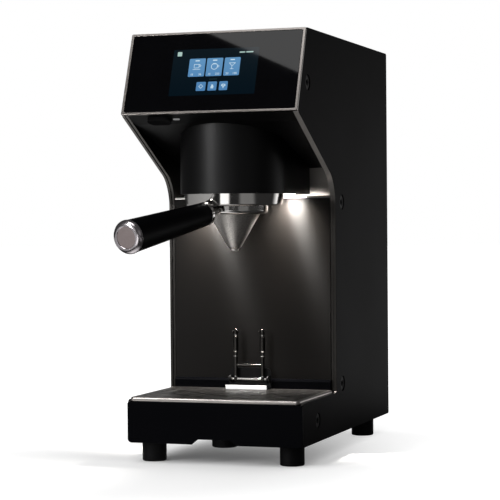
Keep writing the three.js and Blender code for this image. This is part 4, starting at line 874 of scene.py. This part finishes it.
marks = []
for (left, right), first, second in zip(big_keys, ("18", "15", "20"), ("36", "250", "180")):
    middle = (left + right) / 2
    marks += [bar(middle - 2.4, 59.5, middle + 2.4, 60.6),
              amount(first, left + 4.0, 43.2), amount(second, right - 4.8, 43.2)]
cup_x, jug_x, glass_x = ((left + right) / 2 for left, right in big_keys)
marks += [*bars_at(cup_x, (-3.4, 55.6, 2.6, 56.1), (-3.4, 52.2, -2.9, 56.1), (2.1, 52.2, 2.6, 56.1),
                   (-3.0, 51.6, 2.2, 52.1), (-4.6, 49.9, 4.0, 50.4)), ring(cup_x + 3.2, 54.2, 1.3),
          ring(jug_x, 52.9, 3.7, 0.6), *bars_at(jug_x, (-2.6, 55.4, 2.6, 55.8)), ring(jug_x + 4.1, 53, 1.2),
          *bars_at(glass_x, (-3.7, 56.0, 3.7, 56.5), (-0.25, 49.5, 0.25, 53), (-1.9, 49.2, 1.9, 49.7),
                   (-4.3, 54.3, 0.9, 54.75, -45), (-0.9, 54.3, 4.3, 54.75, 45))]
turn_x, spray_x, fan_x = ((left + right) / 2 for left, right in small_keys)
marks += [ring(turn_x, 30.3, 2.6, 0.7, 4),
          *bars_at(spray_x, (-2.2, 29.4, 1.6, 30.8, 55), (-1.6, 29.6, 2.2, 31, 125),
                   (-1.4, 27.6, 1.4, 28.8)),
          ring(fan_x, 30.9, 2.5, 1.4, 32, 0.62), *bars_at(fan_x, (-0.5, 27.6, 0.5, 30.6))]
show("screen_pictograms", icon_light, *marks)

corner_marks = [screen_plate(-41.9, 66.1, -36.9, 71.1, 0.8), screen_plate(27.4, 67.6, 33.6, 69.0, 0.3),
                screen_plate(34.8, 67.6, 42.6, 69.0, 0.3)]
show("screen_corner_marks", mark_green, *corner_marks)
pages = [screen_plate(x, 38.0, x + 1.6, 38.6, 0.2) for x in (-2.8, -0.5, 1.8, 4.1)]
show("screen_page_marks", mark_dim, *pages)
print("marks on the screen:", len(marks) + len(corner_marks) + len(pages))

# %% [markdown]
# Under the lip of the head is a short slanting strip with the power button, an oval of smooth black
# plastic with a dished face, and a small light window beside it.


# %% Button and light window
def on_strip(piece):
    """Places a flat piece on the slanting strip under the head, whose seen side is below."""
    return placed(piece, (-22.38, "X"), y=2.645, z=363.64)


button_x = -58.4
button = slab("push_button", button_x - 13.25, -7.8, button_x + 13.25, 7.8, 7.7, -3, 3.3, segments=16)
flange = slab("flange", button_x - 14.25, -8.8, button_x + 14.25, 8.8, 8.7, 2.3, 3.8, segments=16)
dish = turned("dish", [(3, -1.9), (8, -2.6), (9, -3.4), (9, -6)], 64)
dish.data.transform(Matrix.Diagonal((1.33, 0.72, 1, 1)))
softened(carved(button, placed(dish, x=button_x)), 0.7, 4)
dress(on_strip(joined(button, flange)), "black_plastic", "power_button", body="button",
      finish=gloss_black)
light_window = slab("light_window", -43.3, -1.7, -35.9, 1.7, 1.65, -0.4, 3.6)
dress(on_strip(softened(light_window, 0.3)), "lamp_white", "indicator_lens", finish=indicator_white)

# %% [markdown]
# ## Brew group
#
# The shroud is a bent sheet, round in front and straight to the back, with a finely stepped arc so that
# it reads as one smooth curve. The bell under it is chrome-plated brass with two entry slots for the
# bayonet, and below it hang the ring of the portafilter with its lugs and the etched cone.


# %% Shroud
group_y = 71.4


def arc(radius, angles, y=0):
    """Corners on a circle whose middle is at a Y."""
    return [(radius * math.cos(angle), y + radius * math.sin(angle)) for angle in angles]


def shroud_outline(radius, back):
    """Half a circle about the group's axis, then straight to the back."""
    angles = [math.pi + math.pi * step / 80 for step in range(81)]
    return arc(radius, angles, group_y) + [(radius, back), (-radius, back)]


shroud = plate("smooth_shroud", "Z", shroud_outline(57.8, 161.6), 285.5, 368)
inside = plate("inside", "Z", shroud_outline(55.8, 170), 287.5, 380)
bell_hole = placed(dowel(50.3, 280, 300, 96), y=group_y)
lamp_holes = [placed(dowel(6.3, 280, 300), x=x, y=lamp_y) for x in (-lamp_x, lamp_x)]
carved(shroud, inside, bell_hole, *lamp_holes)
dress(softened(shroud, 0.5), "satin_black", "group_shroud", finish=shroud_black)


# %% Bell, gasket, screen and lamps
def sector(inner, outer, half_angle, middle_angle, low, high):
    """A piece of a flat ring between two radii and two angles in degrees."""
    angles = [math.radians(middle_angle - half_angle + half_angle * step / 6) for step in range(13)]
    return plate("sector", "Z", arc(outer, angles) + arc(inner, angles[::-1]), low, high)


bell = turned("chrome_bell", [(37.4, 272.1), (51.5, 272.1, 2.6), (54.1, 285.2), (37, 285.2), (37, 280.6),
                              (41.6, 280.6), (41.6, 275), (37.4, 275)], 128, hollow=True)
entries = [sector(36, 41.5, 18, angle, 270, 276) for angle in (-64, 116)]
softened(carved(bell, *entries), 0.25)
dress(placed(bell, y=group_y), "chrome_metal", "group_bell")
gasket = turned("sealing_ring", [(29.6, 279.3), (36.7, 279.3, 0.8), (36.7, 285.2), (29.6, 285.2)], 96, True)
dress(placed(gasket, y=group_y), "seal_rubber", "group_gasket")
for name, x in (("left_lamp", -lamp_x), ("right_lamp", lamp_x)):
    lamp = turned(f"{name}_lens", [(4, 283.6), (7.5, 284, 0.3), (7.5, 285.2), (6, 285.2), (6, 293.2)], 48)
    dress(placed(lamp, x=x, y=lamp_y), "lamp_white", name)

# %% [markdown]
# The portafilter is locked at rest. Its ring carries two lugs that ride in the bell's slots and a short
# flattened neck for the handle, all joined into one.


# %% Portafilter
def on_handle(piece):
    """Turns a piece made along Z so that it points out of the group as the handle does."""
    return placed(piece, (99.49, "X"), (-14, "Z"), y=group_y, z=273.1)


holder = turned("portafilter_ring", [(30.5, 263.3), (36.9, 263.3, 4), (36.9, 279), (35, 279), (35, 277.2),
                                     (30.5, 277.2)], 128, hollow=True)
lugs = [placed(sector(35.9, 41.2, 15, angle, 275.3, 279), y=group_y) for angle in (-14, 166)]
neck = turned("neck", [(4.4, 33), (6.9, 54.5), (6.9, 61)], 48)
neck.data.transform(Matrix.Diagonal((1.5, 1, 1, 1)))
stud = dowel(4.3, 50, 112, 32)
carved(placed(holder, y=group_y), *lugs, on_handle(neck), on_handle(stud), operation="UNION")
dress(softened(holder, 0.4), "chrome_metal", "portafilter_body", body="portafilter")
cone = turned("etched_cone", [(30.2, 277.5), (34.7, 277.5), (34.7, 279), (29, 279), (29, 268.4),
                              (6.5, 229.2), (3, 229.2), (3, 224), (4.4, 224, 0.4), (4.4, 226.2),
                              (7.2, 228, 0.8), (30.2, 268.05)], 128, True)
dress(placed(cone, y=group_y), "brushed_metal", "filter_cone", body="portafilter", finish=etched)

ferrule = turned("ferrule", [(10.65, 54.5), (11, 54.5), (12.9, 57.2, 0.6), (12.9, 61, 0.3), (10.65, 61)],
                 hollow=True)
grip = turned("grip", [(4.6, 61.3), (12.7, 61.3, 1.6), (17.1, 192.7, 0.5), (4.6, 192.7)], hollow=True)
end_cap = turned("end_cap", [(4.3, 148), (4.3, 193), (17.5, 193, 0.8), (17.5, 198.9, 5.2),
                             (11.4, 198.9, 0.2), (10.9, 198.4), (4, 198.4)])
dress(on_handle(ferrule), "chrome_metal", "handle_ferrule", body="portafilter")
dress(on_handle(grip), "grip_black", "handle_grip", body="portafilter")
dull_faces = {face.index for face in end_cap.data.polygons
              if face.center.z > 198.3 * mm and face.normal.z > 0.9 and face.center.xy.length < 10.9 * mm}
dress(on_handle(end_cap), "chrome_metal", "handle_end_cap", body="portafilter", finish=cap_chrome,
      second=satin_chrome, where=lambda face: face.index in dull_faces)

# %% [markdown]
# ## Bay
#
# The wall of the bay is one brushed sheet whose top edge is folded back over the shelf. Its colour is
# painted shade, nearly black for the dim bay. The round bend is painted near white, a painted highlight
# that draws the bright line under the hood.

# %% Backsplash
wall = plate("bay_wall", "X", rounded([(128.2, 29.6), (130.3, 29.6), (130.3, 281.2), (163.9, 281.2),
                                       (163.9, 283.3), (128.2, 283.3, 2.6)], 8), -91, 91)
dress(softened(wall, 0.2, 2), "brushed_metal", "backsplash", finish=wall_steel_painted_shade, second=fold_painted_highlight,
      where=lambda face: face.center.z > 281.1 * mm)

# %% [markdown]
# ## Drip tray and grille
#
# The tray is a deep-drawn pan with a rolled, polished rim, built up from a rim plate and a pan and then
# hollowed, with a seat for the grille below the rim. The grille is a thick sheet with rows of staggered
# slots, shortened where they meet the border.

# %% Tray
tray = softened(slab("drip_pan", -94.2, -0.5, 94.2, 124.3, 4, 65.5, 70.2), 1.8, 6)
pan, spout = slab("pan", -91, 5.1, 91, 122.8, 6, 46, 67), placed(dowel(8, 26, 47), y=drain_y)
carved(tray, pan, spout, operation="UNION")
carved(tray, slab("seat", -89.6, 4.1, 89.6, 119.7, 2.5, 68.1, 75),
       slab("mouth", -87.7, 8.4, 87.7, 119.3, 2.5, 60, 75),
       slab("well", -89.8, 6.3, 89.8, 121.6, 5, 47.2, 65), placed(dowel(6.5, 20, 50), y=drain_y))
dress(smoothed(tray), "brushed_metal", "drip_tray", body="tray")

# %% Grille
slots = []
first_row, row_pitch, slot_pitch, half_slot, border, shortest = 13.9, 16, 43.5, 18.5, 84.3, 10
for row in range(7):
    y = first_row + row_pitch * row
    for step in range(-3, 4):
        middle = slot_pitch * (step + (0.5 if row % 2 else 0))
        left, right = max(middle - half_slot, -border), min(middle + half_slot, border)
        if right - left >= shortest:
            slots.append(slab("slot", left, y - 2.5, right, y + 2.5, 2.4, 60, 80, segments=6))
print("slots in the grille:", len(slots))
grille = slab("slotted_grille", -89.3, 4.4, 89.3, 119.4, 2.2, 68.4, 70.2)
carved(grille, joined(*slots))
dress(softened(grille, 0.25, 2), "brushed_metal", "drip_grille", body="grille", finish=grille_steel)

# %% [markdown]
# ## Cup rest
#
# A small frame folds down on the grille to hold a narrow cup under the spout. A bent bracket carries a
# hinge pin, a white lip stops the cup, and the two posts are turned with a stepped sleeve near the top.


# %% Cup rest
hinge_y, hinge_z, post_x, end_pin_z = 116.9, 81, 15.6, 133.6


def on_hinge(piece, x=0, z=hinge_z):
    """Lays a piece made along Z across the cup rest, level with the hinge pin."""
    return placed(piece, (90, "Y"), x=x, y=hinge_y, z=z)


bracket = plate("rest_bracket", "Y", [(-24, 70.5), (24, 70.5), (24, 93.3, 5), (-24, 93.3, 5)], 120.1, 121.9)
sole = slab("sole", -23.5, 107.3, 23.5, 121.9, 1, 70.5, 72)
ear_outline = rounded([(112.7, 76.8, 4.1), (121, 76.8), (121, 85.2), (112.7, 85.2, 4.1)], 8)
ears = [plate("ear", "X", ear_outline, *sorted((sign * 20.9, sign * 22.9))) for sign in (-1, 1)]
carved(bracket, sole, *ears, operation="UNION")
carved(bracket, on_hinge(dowel(1.65, -30, 30, 32)))
dress(softened(bracket, 0.3, 2), "satin_black", "cup_rest_bracket", body="grille")

lip = softened(plate("white_lip", "X", box_corners(104.3, 70.5, 107, 75, 0.9), -23.5, 23.5), 0.5)
dress(lip, "white_silicone", "cup_rest_lip", body="grille")
pin = turned("hinge_pin", [(1.1, -23.2), (1.5, -22.8), (1.5, 22.8), (1.1, 23.2)], 32)
dress(on_hinge(pin), "chrome_metal", "cup_rest_hinge_pin", body="grille")

post = turned("post", [(1, 78.7), (2.3, 78.7, 1.2), (2.3, 83.3), (2.1, 84.5), (2.1, 106), (2.6, 106, 0.2),
                       (2.6, 107.2, 0.2), (2.1, 107.2), (2.1, 111), (3, 112.2, 0.3), (3, 127.5, 0.3),
                       (2.1, 128.7), (2.1, 130.4), (2.7, 130.4, 0.2), (2.7, 137, 2.3), (0.4, 137)], 32)
right_post = placed(twin(post, "folding_rest"), x=post_x, y=hinge_y)
left_post = placed(post, x=-post_x, y=hinge_y)
rod = on_hinge(dowel(1.3, -post_x, post_x, 24), z=96.5)
pins = [on_hinge(turned("end_pin", [(0.8, -3.9), (1.2, -3.5), (1.2, 3.5), (0.8, 3.9)], 24), x, end_pin_z)
        for x in (-post_x, post_x)]
carved(right_post, left_post, rod, *pins, operation="UNION")
hinge_bore = on_hinge(dowel(1.65, -30, 30, 24))
worn_heights = ((83.0, 84.6), (105.9, 107.3), (111, 112.3), (128.6, 130.5))


def worn(face):
    """True for the worn rings of the posts and the tips of their end pins."""
    z = face.center.z / mm
    return (abs(z - end_pin_z) < 1.3 and abs(face.normal.x) > 0.9
            or any(low < z < high for low, high in worn_heights))


dress(smoothed(carved(right_post, hinge_bore)), "satin_black", "cup_rest_frame", body="cup_rest",
      finish=dark_chrome, second=chrome, where=worn)

# %% [markdown]
# ## Back
#
# Nothing of the back shows in the photograph. It still gets pins in the mains socket and a screw at each
# corner of the rear panel.

# %% Rear details
screw = turned("screw", [(1.6, -2), (1.6, 0), (3.2, 0), (3.2, 0.8), (2.2, 1.6), (1.0, 1.9)], 32)
cross = [slab("cross", -a, -b, a, b, 0.1, 1.0, 3) for a, b in ((1.6, 0.35), (0.35, 1.6))]
carved(screw, *cross)
for number, (x, z) in enumerate(((-84, 40), (84, 40), (-84, 448), (84, 448)), 1):
    copy = placed(twin(screw, f"rear_screw_{number}"), (-90, "X"), x=x, y=rear, z=z)
    dress(copy, "brass_fittings")
bpy.data.objects.remove(screw)

mains_pins = [plate("mains_pins", "Y", box_corners(x - 1, z - 2, x + 1, z + 2, 0.6), 340, 352)
              for x, z in ((43, 60), (50, 64), (57, 60))]
dress(softened(joined(*mains_pins), 0.3, 2), "chrome_metal")
